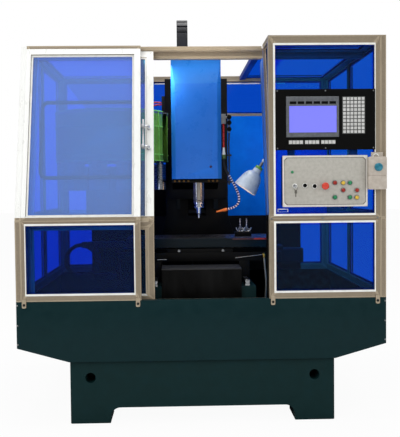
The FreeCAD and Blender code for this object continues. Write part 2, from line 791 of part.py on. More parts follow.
def coolant_block():
    """Manifold on the cover's right cheek, with three valves facing the operator."""
    block = box(cover_right, cover_right + 30, manifold_y - 20, manifold_y + 20, 1740, 1800)
    stub = rod(7, vec(cover_right + 30, manifold_y, valve_z[0]), vec(valve_x, manifold_y, valve_z[0]))
    pipe = rod(8, vec(valve_x, manifold_y, valve_z[2] - 20), vec(valve_x, manifold_y, valve_z[0] + 14))
    pieces = [joined([block, stub, pipe])]
    for z in valve_z:
        pieces.append(joined([
            rod(5, vec(valve_x, manifold_y - 8, z), vec(valve_x, manifold_y - 22, z)),
            rod(valve_knob_r, vec(valve_x, manifold_y - 22, z), vec(valve_x, manifold_y - 40, z))]))
    return pieces[:1] + pieces[1:]


def routed(points):
    """Straight runs joined by tangent arcs, each as large as its two runs allow."""
    edges = []
    start = points[0]
    for before, here, after in zip(points, points[1:], points[2:]):
        into, out = here - before, after - here
        turn = into.getAngle(out)
        cut = 0.45 * min(into.Length, out.Length)
        radius = cut / math.tan(turn / 2)
        a = here - into.normalize() * cut
        b = here + out.normalize() * cut
        bisector = ((a - here) + (b - here)).normalize()
        centre = here + bisector * math.hypot(cut, radius)
        middle = centre - bisector * radius
        edges.append(Part.LineSegment(start, a).toShape())
        edges.append(Part.Arc(a, middle, b).toShape())
        start = b
    edges.append(Part.LineSegment(start, points[-1]).toShape())
    return Part.Wire(edges)


def hose(points, radius):
    path = routed([vec(*p) for p in points])
    way = vec(*points[1]) - vec(*points[0])
    ring = Part.Wire(Part.Circle(vec(*points[0]), way, radius).toShape())
    solid = path.makePipeShell([ring], True, False)
    print("hose length", round(path.Length, 1), "radius", radius)
    return solid


coolant_route = [(158, 495, 1522), (158, 495, 1490), (165, 492, 1462), (177, 488, 1438),
                 (191, 483, 1414), (204, 478, 1391), (216, 471, 1368), (228, 463, 1344),
                 (238, 456, 1318), (247, 451, 1290), (249, 447, 1262), (240, 445, 1238),
                 (221, 445, 1221), (197, 446, 1212), (172, 450, 1206)]
nozzle_route = [(172, 450, 1206), (104, 462, 1190)]


def coolant_hose():
    """The jointed hose of the coolant, with its tapered nozzle aimed at the tool."""
    start, end = vec(*nozzle_route[0]), vec(*nozzle_route[1])
    nozzle = Part.makeCone(9, 4, (end - start).Length, start, end - start)
    return [hose(coolant_route, 8), nozzle]


def head_hoses():
    """Red supply hose with the reducer and cap that the jointed hose hangs from."""
    x, y = cover_right + 16, manifold_y
    red = rod(6, vec(x, y, 1595), vec(x, y, 1740))
    reducer = Part.makeCone(12, 7, 50, vec(x, y, 1545))
    cap = rod(14, vec(x, y, 1522), vec(x, y, 1545))
    return [red, reducer, cap]


bracket_z = 1827.0
bracket_plate = 22.0
bracket_arm_half = 45.0


def magazine_bracket():
    """Arm from the column's left cheek to the hub over the magazine."""
    cheek = box(-column_half - 22, -column_half, column_front + 20, column_front + 200,
                bracket_z - 60, bracket_z + 150)
    arm = [(-column_half - 22, column_front + 20), (-column_half - 22, column_front + 160),
           (magazine_x - bracket_arm_half, magazine_y + 50), (magazine_x - bracket_arm_half, magazine_y - 50),
           (magazine_x + bracket_arm_half, magazine_y - 50)]
    level = sheet(vec(0, 0, 0), vec(1, 0, 0), vec(0, 1, 0), vec(0, 0, 1))
    arm = prism(level, arm, bracket_z, bracket_z + bracket_plate)
    hub = rod(hub_r - journal_gap, vec(magazine_x, magazine_y, disc_low - 10),
              vec(magazine_x, magazine_y, bracket_z))
    collar = rod(hub_r + 12, vec(magazine_x, magazine_y, disc_low - 16),
                 vec(magazine_x, magazine_y, disc_low - 2))
    return joined([cheek, arm, hub, collar])


def magazine_cover():
    """A round cover, open below, with a notch where the spindle takes a tool."""
    centre = vec(magazine_x, magazine_y, magazine_bottom)
    tall = magazine_top - magazine_bottom
    drum = Part.makeCylinder(magazine_r, tall, centre)
    inside = Part.makeCylinder(magazine_r - magazine_sheet, tall - magazine_sheet, centre)
    drum = drum.cut(inside)
    for z in (1549.0, 1721.0):
        ring = Part.makeCylinder(magazine_r + 3, 5, vec(magazine_x, magazine_y, z))
        drum = drum.fuse(ring.cut(Part.makeCylinder(magazine_r, 5, vec(magazine_x, magazine_y, z))))
    notch = box(magazine_x + 240, magazine_x + magazine_r + 10, spindle_y - 62, spindle_y + 62,
                magazine_bottom - 1, magazine_top + 1)
    hub_hole = rod(hub_r + 20, vec(magazine_x, magazine_y, magazine_top - 10),
                   vec(magazine_x, magazine_y, magazine_top + 1))
    shell = drum.cut([notch, hub_hole]).removeSplitter()
    hangers = [box(magazine_x + x - 12, magazine_x + x + 12, magazine_y - 12, magazine_y + 12,
                   magazine_top, bracket_z) for x in (-32, 62)]
    return [shell, hangers[1]]


pocket_turn = math.degrees(math.asin((magazine_y - spindle_y) / tool_circle_r))


def carousel():
    """The disc that carries the tools in forks round its rim."""
    centre = vec(magazine_x, magazine_y, disc_low)
    disc = Part.makeCylinder(tool_circle_r - 45, disc_thick, centre)
    boss = Part.makeCylinder(60, 70, centre)
    parts = [disc, boss]
    cuts = [rod(hub_r, centre, centre + vec(0, 0, 80))]
    fork = box(tool_circle_r - 75, tool_circle_r + 12, -27, 27, 2, disc_thick - 4)
    for i in range(tool_count):
        turn = 360.0 * i / tool_count
        finger = fork.copy()
        finger.translate(centre)
        finger.rotate(centre, vec(0, 0, 1), turn - pocket_turn)
        parts.append(finger)
        cuts.append(rod(22.5, centre + around(turn), centre + around(turn) + vec(0, 0, disc_thick)))
        gap = box(tool_circle_r, tool_circle_r + 30, -19, 19, 0, disc_thick)
        gap.translate(centre)
        gap.rotate(centre, vec(0, 0, 1), turn - pocket_turn)
        cuts.append(gap)
        cuts.append(rod(28, vec(magazine_x, magazine_y, 0) + around(turn + 15) * 0.55 + vec(0, 0, disc_low),
                        vec(magazine_x, magazine_y, 0) + around(turn + 15) * 0.55
                        + vec(0, 0, disc_low + disc_thick)))
    return joined(parts).cut(cuts)


def around(turn):
    """The tool circle's point at an angle from the pocket that lines up with the spindle."""
    turn -= pocket_turn
    return vec(tool_circle_r * math.cos(math.radians(turn)),
               tool_circle_r * math.sin(math.radians(turn)), 0)


def magazine_tools():
    """Tools hanging in the forks: flange, groove, taper above and body below."""
    tools = []
    for i in range(tool_count):
        spot = vec(magazine_x, magazine_y, 0) + around(360.0 * i / tool_count)
        low = disc_low - 30
        profile = [(0, stored_tool_low), (stored_tool_r - 3, stored_tool_low),
                   (stored_tool_r, stored_tool_low + 3), (stored_tool_r, low - 12),
                   (flange_r + 7, low - 12), (flange_r + 7, low), (22, low), (22, disc_low + 16),
                   (12.5, disc_low + 80), (7, disc_low + 80), (7, disc_low + 105), (0, disc_low + 105)]
        tools.append(revolved(profile, spot))
    return tools


def way_cover():
    """Steel hood over the front of the bed, in front of the saddle."""
    top = 871.0
    half = 228.0
    hood = box(-half, half, bed_front - 18, saddle_front - 20, bed_top, top)
    return hood.cut(box(-half + 3, half - 3, bed_front - 15, saddle_front - 20, bed_top, top - 4))


apron_low = 640.0
apron_half = 232.0
fold_count = 9


def front_apron():
    """The rubber sheet over the way cover that hangs down in front in loose folds."""
    top = 871.0
    near = bed_front - 18
    cap = box(-apron_half, apron_half, near - 3, saddle_front - 20, top, top + 3)
    level = sheet(vec(0, 0, 0), vec(1, 0, 0), vec(0, 1, 0), vec(0, 0, 1))
    step = 2 * apron_half / fold_count
    outer, inner = [], []
    for i in range(fold_count + 1):
        x = -apron_half + i * step
        wave = 10.0 if i % 2 else 2.0
        outer.append((x, near - 3 - wave))
        inner.append((x, near - wave))
    skirt = prism(level, outer + inner[::-1], apron_low, top)
    strip = box(-apron_half, apron_half, near - 13, near, top - 4, top)
    return joined([cap, strip, skirt])


def header_beam():
    beam = box(-inner_half, inner_half, header_front, header_front + header_deep,
               enclosure_top - header_tall, enclosure_top)
    return beam.makeFillet(5, [e for e in beam.Edges if runs_along(e, vec(1, 0, 0))])


track_front = 330.0
track_leg = 4.0
track_tall = 24.0
track_low = enclosure_top - track_tall
track_rear = 372.0
sill_fin = 4.0
sill_mid = 64.0


def door_tracks():
    """The channel that the door's sliders hang in, and the sill fin that guides its foot."""
    top = enclosure_top
    channel = [(track_front, track_low), (track_front + track_leg, track_low),
               (track_front + track_leg, top - track_leg), (track_rear - track_leg, top - track_leg),
               (track_rear - track_leg, track_low), (track_rear, track_low),
               (track_rear, top - track_leg), (header_front, top - track_leg), (header_front, top),
               (track_front, top)]
    across = sheet(vec(-inner_half, 0, 0), vec(0, 1, 0), vec(0, 0, 1), vec(1, 0, 0))
    upper = prism(across, channel, 0, inner_half + cabinet_left)
    base = tray_rim - 24
    fin_top = door_bottom - 4
    ledge = tray_rim - tray_sheet
    reach = tray_sheet + tray_ledge
    near = reach
    sill = [(near, base), (near + 44, base), (near + 44, base + 5),
            (sill_mid + sill_fin / 2, base + 5), (sill_mid + sill_fin / 2, fin_top),
            (sill_mid - sill_fin / 2, fin_top), (sill_mid - sill_fin / 2, base + 5),
            (near + 4, base + 5), (near + 4, tray_rim), (near, tray_rim)]
    side_gap = reach - side_frame_thick
    lower = prism(across, sill, side_gap, inner_half + cabinet_left)
    return [upper, lower]


def door_jamb():
    """Bright strip down the cabinet's side that the door closes against."""
    foot = tray_rim
    lower = prism(cabinet_side, [(frame_depth, foot), (jamb_deep, foot),
                                 (jamb_deep, bend_height - jamb_deep * math.tan(lean / 2)),
                                 (frame_depth, bend_height - frame_depth * math.tan(lean / 2))],
                  -jamb_thick, 0)
    def on_slope(v, n):
        spot = at(slope, 0, v, n)
        return (spot.y, spot.z)
    top_v = slope_long - jamb_top_clear
    upper = prism(cabinet_side, [on_slope(jamb_deep * math.tan(lean / 2), jamb_deep),
                                 on_slope(frame_depth / math.cos(lean), 1.0),
                                 on_slope(top_v, 1.0), on_slope(top_v, jamb_deep)], -jamb_thick, 0)
    return [lower, upper]


def cabinet_frame():
    bars = bars_of([cabinet_lower, cabinet_upper], frame_depth)
    return bars + bars_of([side_glass], side_glass_deep) + door_jamb() + post_lugs()


def post_lugs():
    """Small plates that bolt the feet of the four front posts to the tray's wall."""
    spots = (outer_stile / 2 - inner_half, bay_right - bay_inner_stile / 2,
             cabinet_left + cabinet_left_stile / 2, inner_half - cabinet_right_stile / 2)
    lugs = []
    for x in spots:
        plate = box(x - lug_half, x + lug_half, -lug_thick, 0, tray_rim - lug_drop, tray_rim + lug_lap)
        plate = plate.makeFillet(lug_half * 0.6, [e for e in plate.Edges if runs_along(e, vec(0, 1, 0))
                                                  and e.BoundBox.ZMax < tray_rim])
        lugs.append(plate.cut(rod(lug_hole_r, vec(x, -lug_thick, tray_rim - lug_drop / 2),
                                  vec(x, 0, tray_rim - lug_drop / 2))))
    return lugs


def enclosure_frames():
    sides = bars_of(side_fields(left_side, True) + side_fields(right_side, False), side_frame_thick)
    over = bars_of(roof_fields(), side_frame_thick)
    return sides + bars_of(rear_fields(), frame_depth) + over + [header_beam()]


console_rear = 90.0
console_rim = 6.0
unit_rear = 140.0
unit_rim = 18.0
pane_relief = 1.0


def cabinet_glass():
    """The cabinet's upper pane, cut out round the control unit and the operation panel."""
    glass = pane(*cabinet_upper)
    unit = box(control_left + unit_rim - pane_relief, control_right - unit_rim + pane_relief,
               0, frame_depth, control_low + unit_rim - pane_relief,
               control_high - unit_rim + pane_relief)
    console = box(panel_left + console_rim - pane_relief, panel_right - console_rim + pane_relief,
                  0, frame_depth, panel_low + console_rim - pane_relief,
                  panel_high - console_rim + pane_relief)
    return glass.cut([unit, console])


def control_housing():
    """Black front plate over the opening, with the unit's case behind it."""
    plate = box(control_left, control_right, control_front, 0, control_low, control_high)
    plate = plate.makeChamfer(2, [e for e in plate.Edges if e.BoundBox.YMax < control_front + 0.1])
    case = box(control_left + unit_rim, control_right - unit_rim, 0, unit_rear,
               control_low + unit_rim, control_high - unit_rim)
    x, z = cabinet_left, control_low
    seat = box(x + 416, x + 546, control_front, control_front + 2, z + 89, z + 299)
    return joined([plate, case]).cut(seat)


def screen_bezel():
    x, z = cabinet_left, control_low
    bezel = box(x + 98, x + 397, control_front - 8, control_front, z + 72, z + 300)
    bezel = bezel.makeChamfer(4, [e for e in bezel.Edges if e.BoundBox.YMax < control_front - 7.9])
    display_hole = box(x + 115, x + 383, control_front - 8, control_front - 3, z + 98, z + 247)
    label_hole = box(x + 115, x + 383, control_front - 8, control_front - 6, z + 251, z + 280)
    return bezel.cut([display_hole, label_hole])


def display():
    x, z = cabinet_left, control_low
    return box(x + 115.3, x + 382.7, control_front - 5.5, control_front - 3, z + 98.3, z + 246.7)


def grid_keys(left, right, low, high, cols, rows, share, back, proud):
    """A block of keys on one backing sheet."""
    step_x, step_z = (right - left) / cols, (high - low) / rows
    wide, tall = step_x * share, step_z * share
    keys = []
    for i in range(cols):
        for j in range(rows):
            x = left + (i + 0.5) * step_x - wide / 2
            z = low + (j + 0.5) * step_z - tall / 2
            keys.append(box(x, x + wide, back - proud, back, z, z + tall))
    return keys


def keypad():
    """A sealed key field beside the screen and three rows of four soft keys below it."""
    back = control_front + 2
    x, z = cabinet_left, control_low
    field = box(x + 416, x + 546, back - 1.5, back, z + 89, z + 299)
    pieces = [joined([field] + grid_keys(x + 418, x + 544, z + 91, z + 297, key_cols, key_rows,
                                         0.76, back - 1.5, 2.0))]
    for left in (x + 111, x + 202, x + 294):
        strip = box(left, left + 84, control_front - 1.5, control_front, z + 32, z + 56)
        pieces.append(joined([strip] + grid_keys(left + 1, left + 83, z + 33, z + 55, 4, 1, 0.86,
                                                 control_front - 1.5, 2.0)))
    return pieces


def on_panel(x, z):
    return (cabinet_left + x, panel_low + z)


# Positions of the operator's controls on the panel, (X, Z).
push_buttons = {"start_red": on_panel(371, 135), "start_yellow": on_panel(418, 134),
                "start_green": on_panel(456, 134), "axis_red": on_panel(418, 93),
                "axis_dark_red": on_panel(496, 92), "cycle_green": on_panel(371, 53),
                "feed_green": on_panel(456, 52), "hold_yellow": on_panel(495, 51)}
stop_spot = on_panel(314, 117)
key_spot = on_panel(144, 119)
selector_spots = {"selector_left": on_panel(201, 121), "selector_right": on_panel(256, 117)}
signal_spot = on_panel(130, 197)
stop_collar = 17.0


def collar(x, z, outer, inner):
    ring = rod(outer, vec(x, panel_face, z), vec(x, panel_face - ring_tall, z))
    return ring.cut(rod(inner, vec(x, panel_face, z), vec(x, panel_face - ring_tall, z)))


def operation_panel():
    """Steel plate on a shallow case, with the collars of its buttons and a signal lamp."""
    plate = box(panel_left, panel_right, panel_face, panel_face + panel_sheet, panel_low, panel_high)
    plate = plate.makeFillet(4, [e for e in plate.Edges if runs_along(e, vec(0, 1, 0))])
    rim = console_rim
    case = box(panel_left + rim, panel_right - rim, panel_face + panel_sheet, console_rear,
               panel_low + rim, panel_high - rim)
    hangers = [box(x, x + 40, 60, console_rear, panel_high - rim, control_low + unit_rim)
               for x in (cabinet_left + 117, cabinet_left + 477)]
    body = joined([plate, case] + hangers)
    spots = [(x, z, ring_r) for x, z in push_buttons.values()]
    spots += [(x, z, ring_r) for x, z in selector_spots.values()] + [(*key_spot, ring_r)]
    rings = [collar(x, z, outer, button_r + button_gap) for x, z, outer in spots]
    rings.append(collar(*stop_spot, stop_collar, button_r + button_gap))
    signal = rod(8, vec(signal_spot[0], panel_face, signal_spot[1]),
                 vec(signal_spot[0], panel_face - 9, signal_spot[1]))
    return [body] + rings + [signal.makeFillet(3, [signal.Edges[0]])]


def push_button(x, z):
    back = panel_face - 4.5
    cap = rod(button_r, vec(x, back, z), vec(x, panel_face - button_proud, z))
    return cap.makeChamfer(1.5, [e for e in cap.Edges if e.BoundBox.YMax < back - 1])


def emergency_stop():
    x, z = stop_spot
    profile = [(0, 5.5), (button_r, 5.5), (button_r, 17), (18, 17), (20.5, 20), (20.5, 27),
               (17, 33), (9, 36), (0, 37)]
    corners = [vec(x + r, panel_face - y, z) for r, y in profile]
    face = Part.Face(Part.makePolygon(corners + corners[:1]))
    return face.revolve(vec(x, 0, z), vec(0, 1, 0), 360)


def selector(x, z):
    barrel = rod(button_r, vec(x, panel_face - 0.5, z), vec(x, panel_face - 11, z))
    grip = box(x - 4, x + 4, panel_face - 22, panel_face - 11, z - 11, z + 11)
    return joined([barrel, grip])


def key_switch():
    """Lock barrel with the key in it and a second key hanging from its ring."""
    x, z = key_spot
    face = panel_face - 11
    barrel = rod(button_r, vec(x, panel_face - 0.5, z), vec(x, face, z))
    blade = box(x - 1.5, x + 1.5, face - 20, face, z - 5, z + 5)
    bow = rod(11, vec(x - 1.5, face - 28, z), vec(x + 1.5, face - 28, z))
    ring = Part.makeTorus(10, 1.2, vec(x, face - 28, z - 14), vec(0, 1, 0))
    spare = box(x - 7, x + 7, face - 29.5, face - 26.5, z - 42, z - 23)
    shank = box(x - 3, x + 3, face - 29.5, face - 26.5, z - 62, z - 42)
    return joined([barrel, blade, bow, ring, spare, shank])


pendant_left = panel_right - 4
pendant_wide = 103.0
pendant_right = pendant_left + pendant_wide
pendant_low = panel_low + 95
pendant_tall = 184.0
pendant_high = pendant_low + pendant_tall
dial_spot = (pendant_left + 55, pendant_low + 125)


def pendant_box():
    """Handwheel box hung by its bail on a hook plate beside the panel."""
    case = box(pendant_left, pendant_right, pendant_face, pendant_rear, pendant_low, pendant_high)
    case = case.makeFillet(9, [e for e in case.Edges if runs_along(e, vec(0, 1, 0))])
    seam_low = pendant_low + 77
    seam = box(pendant_left - 1, pendant_right + 1, pendant_face - 1, pendant_rear + 1,
               seam_low, seam_low + 2)
    case = case.cut(seam.cut(box(pendant_left + 2, pendant_right - 2, pendant_face + 2,
                                 pendant_rear + 1, seam_low, seam_low + 2)))
    x, z = dial_spot
    stem = rod(5.7, vec(x, pendant_face, z), vec(x, pendant_face - 4, z))
    plate = box(pendant_left + 25, pendant_right - 12, pendant_rear, 0, pendant_low + 40,
                pendant_high + 26)
    bail = Part.makeTorus(16, 3, vec(x - 6, pendant_rear - 4, pendant_high), vec(0, 1, 0))
    return [joined([case, stem]), joined([plate, bail.cut(case)])]


def pendant_dial():
    x, z = dial_spot
    front_face = pendant_face - dial_tall
    dial = rod(dial_r, vec(x, pendant_face - 0.4, z), vec(x, front_face, z))
    dial = dial.makeChamfer(2.5, [e for e in dial.Edges if e.BoundBox.YMax < front_face + 0.1])
    knob = rod(4.5, vec(x + 13, front_face, z + 6), vec(x + 13, front_face - 8, z + 6))
    return joined([dial, knob]).cut(rod(6, vec(x, pendant_face, z), vec(x, pendant_face - 4.4, z)))


electric_front = enclosure_depth - 38


splash_left = 794.0
splash_right = 811.0
splash_high_left = 833.0
splash_high_top = 1511.0
splash_sheet = 5.0


def rear_splash():
    """Black steel sheets inside the rear wall, behind the table and under the magazine."""
    far = enclosure_depth - frame_depth
    low = box(-splash_left, splash_right, far - splash_sheet, far, tray_rim, rear_rail_z)
    high = box(-splash_high_left, -rear_bay_x, far - splash_sheet, far, rear_rail_z,
               splash_high_top)
    return [low, high]


def electrical_cabinet():
    """Closed steel cabinet on the rear, with a screwed cover and cable glands."""
    left, right = rear_bay_x + 8, inner_half - 8
    case = box(left, right, enclosure_depth, cabinet_rear - 22, rear_rail_z, electric_top)
    plug = box(rear_bay_x, inner_half, electric_front, enclosure_depth, rear_rail_z, electric_top)
    lid = box(left - 4, right + 4, cabinet_rear - 22, cabinet_rear - 4, rear_rail_z + 6,
              electric_top - 6)
    lid = lid.makeChamfer(5, [e for e in lid.Edges if e.BoundBox.YMin > cabinet_rear - 5])
    hood = [(enclosure_depth, electric_top), (cabinet_rear, electric_top),
            (cabinet_rear, electric_top + 4), (enclosure_depth, electric_top + 30)]
    across = sheet(vec(left, 0, 0), vec(0, 1, 0), vec(0, 0, 1), vec(1, 0, 0))
    slots = [box(right - 260, right - 60, cabinet_rear - 12, cabinet_rear, z, z + 10)
             for z in range(1190, 1360, 26)]
    glands = [rod(16, vec(x, enclosure_depth + 90, rear_rail_z - 24),
                  vec(x, enclosure_depth + 90, rear_rail_z)) for x in (left + 107, left + 187, left + 267)]
    return [joined([case, plug, lid.cut(slots), prism(across, hood, 0, right - left)] + glands)]


lamp_joint = (cabinet_left + 5, 300.0, control_low - 48)


def lamp_arm():
    """Bracket on the control unit's case and the bent arm that carries the lamp."""
    x, y, z = lamp_joint
    foot = box(control_left + unit_rim - 14, control_left + unit_rim, 90, unit_rear,
               control_low + 27, control_low + 92)
    arm = hose([(x + 43, 132, z + 75), (x + 42, 150, z + 48), (x + 36, 190, z + 28),
                (x + 24, 238, z + 16), (x + 12, 276, z + 8), (x + 4, y, z + 6)], 7)
    ball = Part.makeSphere(12, vec(x, y, z))
    return [joined([foot, arm, ball])]


def lamp_axis():
    return vec(-0.565, 0, -0.825)


def along_lamp(distance):
    return vec(*lamp_joint) + lamp_axis() * distance


def lamp_shell(pairs):
    """Turns (distance, radius) pairs about the lamp's axis."""
    side = vec(0, 1, 0)
    corners = [along_lamp(d) + side * r for d, r in pairs]
    face = Part.Face(Part.makePolygon(corners + corners[:1]))
    return face.revolve(vec(*lamp_joint), lamp_axis(), 360)


def lamp_shade():
    """Spun shade with its socket, and a socket clamp over the arm's ball."""
    outer = [(60, 24), (84, 27), (98, 44), (128, 58), (168, 66), (205, 74)]
    inner = [(d + 1.0, r - 2.0) for d, r in reversed(outer)]
    inner[0] = (205, 72)
    inner[-1] = (66, 20)
    shade = lamp_shell(outer + inner + [(66, 0), (60, 0)])
    neck = lamp_shell([(12.6, 0), (12.6, 9), (40, 9), (40, 16), (60, 16), (60, 0)])
    return joined([shade, neck])


def lamp_bulb():
    return lamp_shell([(66, 0), (66, 13), (92, 13), (108, 24), (128, 29), (146, 26), (158, 15),
                       (162, 0)])


def drag_chain(plane, start, bend, radius, end, wide, thick, pitch):
    """A cable chain bent once, drawn in a plane: a leg up, a half turn and a leg back."""
    half = thick / 2
    core = half * 0.62
    links = []
    level = 0.0
    legs = [(start, bend, 0.0), (end, bend, 2 * radius)]
    pieces = []
    for low, high, shift in legs:
        pieces.append(prism(plane, rectangle(shift - core, shift + core, low, high),
                            -wide * 0.42, wide * 0.42))
        count = int((high - low) // pitch)
        for i in range(count):
            v = high - (i + 0.5) * pitch
            links.append(prism(plane, rectangle(shift - half, shift + half, v - pitch * 0.42,
                                                v + pitch * 0.42), -wide / 2, wide / 2))
    centre = at(plane, radius, bend)
    turns = int(round(math.pi * radius / pitch))
    curve = []
    for i in range(turns + 1):
        angle = math.pi - math.pi * i / turns
        curve.append((radius + (radius + core) * math.cos(angle), bend + (radius + core) * math.sin(angle)))
    for i in reversed(range(turns + 1)):
        angle = math.pi - math.pi * i / turns
        curve.append((radius + (radius - core) * math.cos(angle), bend + (radius - core) * math.sin(angle)))
    pieces.append(prism(plane, curve, -wide * 0.42, wide * 0.42))
    for i in range(turns):
        link = prism(plane, rectangle(-half, half, bend - pitch * 0.42, bend + pitch * 0.42),
                     -wide / 2, wide / 2)
        link.rotate(centre, plane["n"], -180.0 * (i + 0.5) / turns)
        links.append(link)
    return joined(pieces + links)


head_chain_x = -92.0
head_chain_wide = 73.0
head_chain_y = 880.0
head_chain_radius = 82.0
head_chain_bend = cover_top + 218.0


def head_chain():
    """Cable chain from the top of the head cover over to the top of the column."""
    plane = sheet(vec(head_chain_x, head_chain_y, 0), vec(0, 1, 0), vec(0, 0, 1), vec(1, 0, 0))
    chain = drag_chain(plane, cover_top, head_chain_bend, head_chain_radius, column_top,
                       head_chain_wide, 40.0, 39.0)
    half = head_chain_wide / 2
    guard = box(head_chain_x - half, head_chain_x + half, head_chain_y - 26, head_chain_y - 20,
                cover_top, head_chain_bend)
    return [joined([chain, guard])]


def table_chain():
    """Cable chain of the X axis, lying on its side between the table's end and the saddle."""
    radius = (x_chain_high - x_chain_low) / 2
    plane = sheet(vec(0, chain_y, x_chain_high), vec(0, 0, -1), vec(-1, 0, 0), vec(0, -1, 0))
    return drag_chain(plane, table_half, 740.0, radius, saddle_half + 20, chain_wide, chain_thick, 38.0)


drain_route = [(389, 336, 920), (389, 324, 906), (390, 317, 884), (392, 314, 850), (396, 313, 810),
               (399, 314, 765), (399, 317, 720), (396, 321, 680), (392, 324, 645)]


def drain_hose():
    """Thin oil hose that hangs from the saddle's front into the tray."""
    return hose(drain_route, 5)


def drain_fitting():
    x = 389.0
    nut = rod(9, vec(x, saddle_front, 930), vec(x, saddle_front - 12, 930))
    elbow = rod(7, vec(x, saddle_front - 12, 930), vec(x, saddle_front - 22, 914))
    return joined([nut, elbow])


pipe_route = [(240, 1040, 1770), (241, 1039, 1720), (238, 1038, 1660), (237, 1038, 1600),
              (240, 1039, 1540), (239, 1038, 1480), (237, 1039, 1420), (238, 1038, 1360)]


def column_hose():
    """Black supply hose clipped down the column's right cheek."""
    clips = [box(column_half, column_half + 30, 1030, 1048, z, z + 12) for z in (1745, 1560, 1375)]
    tube = hose([(column_half + 14 + x - 240, y, z) for x, y, z in pipe_route], 6)
    return [tube] + [clip.cut(tube) for clip in clips]


door_bend = door_set + door_thick
door_bend_trim = door_bend * math.tan(lean / 2)


def door_fields():
    lower = rectangle(door_left, door_right, door_bottom, bend_height - door_bend_trim)
    upper = rectangle(door_left, door_right, door_bend_trim, door_top_v)
    return [(shifted(front), lower, [24.0, door_stile, 34.0, door_stile]),
            (shifted(slope), upper, [16.0, door_stile, 38.0, door_stile])]


def shifted(plane):
    return sheet(plane["corner"] + plane["n"] * door_set, plane["u"], plane["v"], plane["n"])


door_pane_set = 13.0


def door_frame():
    """The door's bars, bent like the bay beside it, with hangers above and guides below."""
    lower, upper = door_fields()
    bars = [bar for field in (lower, upper)
            for bar in framed(*field, depth=door_thick, seat=door_pane_set)]
    def on_slope(v, n):
        spot = at(slope, 0, v, n)
        return (spot.y, spot.z)
    low = bend_height - door_bend_trim
    wedge = [(door_set, low), (door_bend, low), on_slope(door_bend_trim, door_set)]
    across = sheet(vec(door_left, 0, 0), vec(0, 1, 0), vec(0, 0, 1), vec(1, 0, 0))
    bars.append(prism(across, wedge, 0, door_right - door_left))
    for x in (door_left + 80, door_right - 140):
        bars.append(joined([
            box(x, x + 60, 347, 357, track_low - 8, track_low + 4),
            box(x, x + 60, track_front + track_leg + 1, track_rear - track_leg - 1,
                track_low + 4, enclosure_top - track_leg - 1)]).cut(prism(shifted(slope), rectangle(
                    door_left, door_right, door_top_v - 60, door_top_v), 0, door_thick)))
        near = sill_mid - sill_fin / 2 - 0.5
        far = sill_mid + sill_fin / 2 + 0.5
        bars.append(box(x, x + 60, near - 6, near, door_bottom - 12, door_bottom))
        bars.append(box(x, x + 60, far, far + 6, 691, door_bottom))
    return bars


def window_outline(grow):
    corner = window_corner + grow
    left, right = window_left - grow, window_right + grow
    low, high = window_low_v - grow, window_high_v + grow
    return left, right, low, high, corner


def rounded_prism(plane, grow, near, far):
    left, right, low, high, corner = window_outline(grow)
    spots = [((left + corner, low), (right - corner, low)),
             ((right, low + corner), (right, high - corner)),
             ((right - corner, high), (left + corner, high)),
             ((left, high - corner), (left, low + corner))]
    middles = [(right - corner, low + corner), (right - corner, high - corner),
               (left + corner, high - corner), (left + corner, low + corner)]
    edges = []
    for i, (a, b) in enumerate(spots):
        after = spots[(i + 1) % 4][0]
        edges.append(Part.LineSegment(at(plane, *a, near), at(plane, *b, near)).toShape())
        mu, mv = middles[i]
        reach = corner / math.sqrt(2)
        su, sv = ((1, -1), (1, 1), (-1, 1), (-1, -1))[i]
        middle = at(plane, mu + su * reach, mv + sv * reach, near)
        edges.append(Part.Arc(at(plane, *b, near), middle, at(plane, *after, near)).toShape())
    return Part.Face(Part.Wire(edges)).extrude(plane["n"] * (far - near))


def door_panes():
    lower, upper = door_fields()
    sheets = [pane(*field, seat=door_pane_set) for field in (lower, upper)]
    hole = rounded_prism(upper[0], -gasket_wide / 2, 0, door_thick)
    light = rounded_prism(upper[0], -gasket_wide / 2 - 2, door_pane_set, door_pane_set + pane_thick)
    return [sheets[0], sheets[1].cut(hole), light]


def door_gasket():
    """Rubber strip that holds the window light in the door's upper pane."""
    plane = door_fields()[1][0]
    near, far = door_pane_set - 5, door_pane_set + pane_thick + 4
    strip = rounded_prism(plane, 0, near, far).cut(rounded_prism(plane, -gasket_wide, near, far))
    held = rounded_prism(plane, 0, door_pane_set, door_pane_set + pane_thick)
    web = rounded_prism(plane, -gasket_wide / 2, door_pane_set, door_pane_set + pane_thick)
    light = rounded_prism(plane, -gasket_wide / 2 - 2, door_pane_set, door_pane_set + pane_thick)
    return strip.cut(held.cut(web)).cut(light)


def door_handle():
    """Pull rod in two sleeves, each bolted to the door's stile by a short arm."""
    plane = door_fields()[1][0]
    low, high = handle_low_v, handle_low_v + handle_long
    proud = -46.0
    grip = door_right - handle_inset
    parts = [rod(handle_r, at(plane, grip, low, proud), at(plane, grip, high, proud))]
    stile = door_right - door_stile + 12
    for v in (low + 20, high - 40):
        parts.append(rod(11, at(plane, grip, v - 11, proud), at(plane, grip, v + 11, proud)))
        parts.append(rod(5, at(plane, grip, v, proud), at(plane, stile, v, proud)))
        parts.append(rod(6.5, at(plane, stile, v, proud - 7), at(plane, stile, v, 0)))
        parts.append(rod(10, at(plane, stile, v, -5), at(plane, stile, v, 0)))
    return joined(parts)


def door_beads():
    return [bead(*field, seat=door_pane_set) for field in door_fields()]


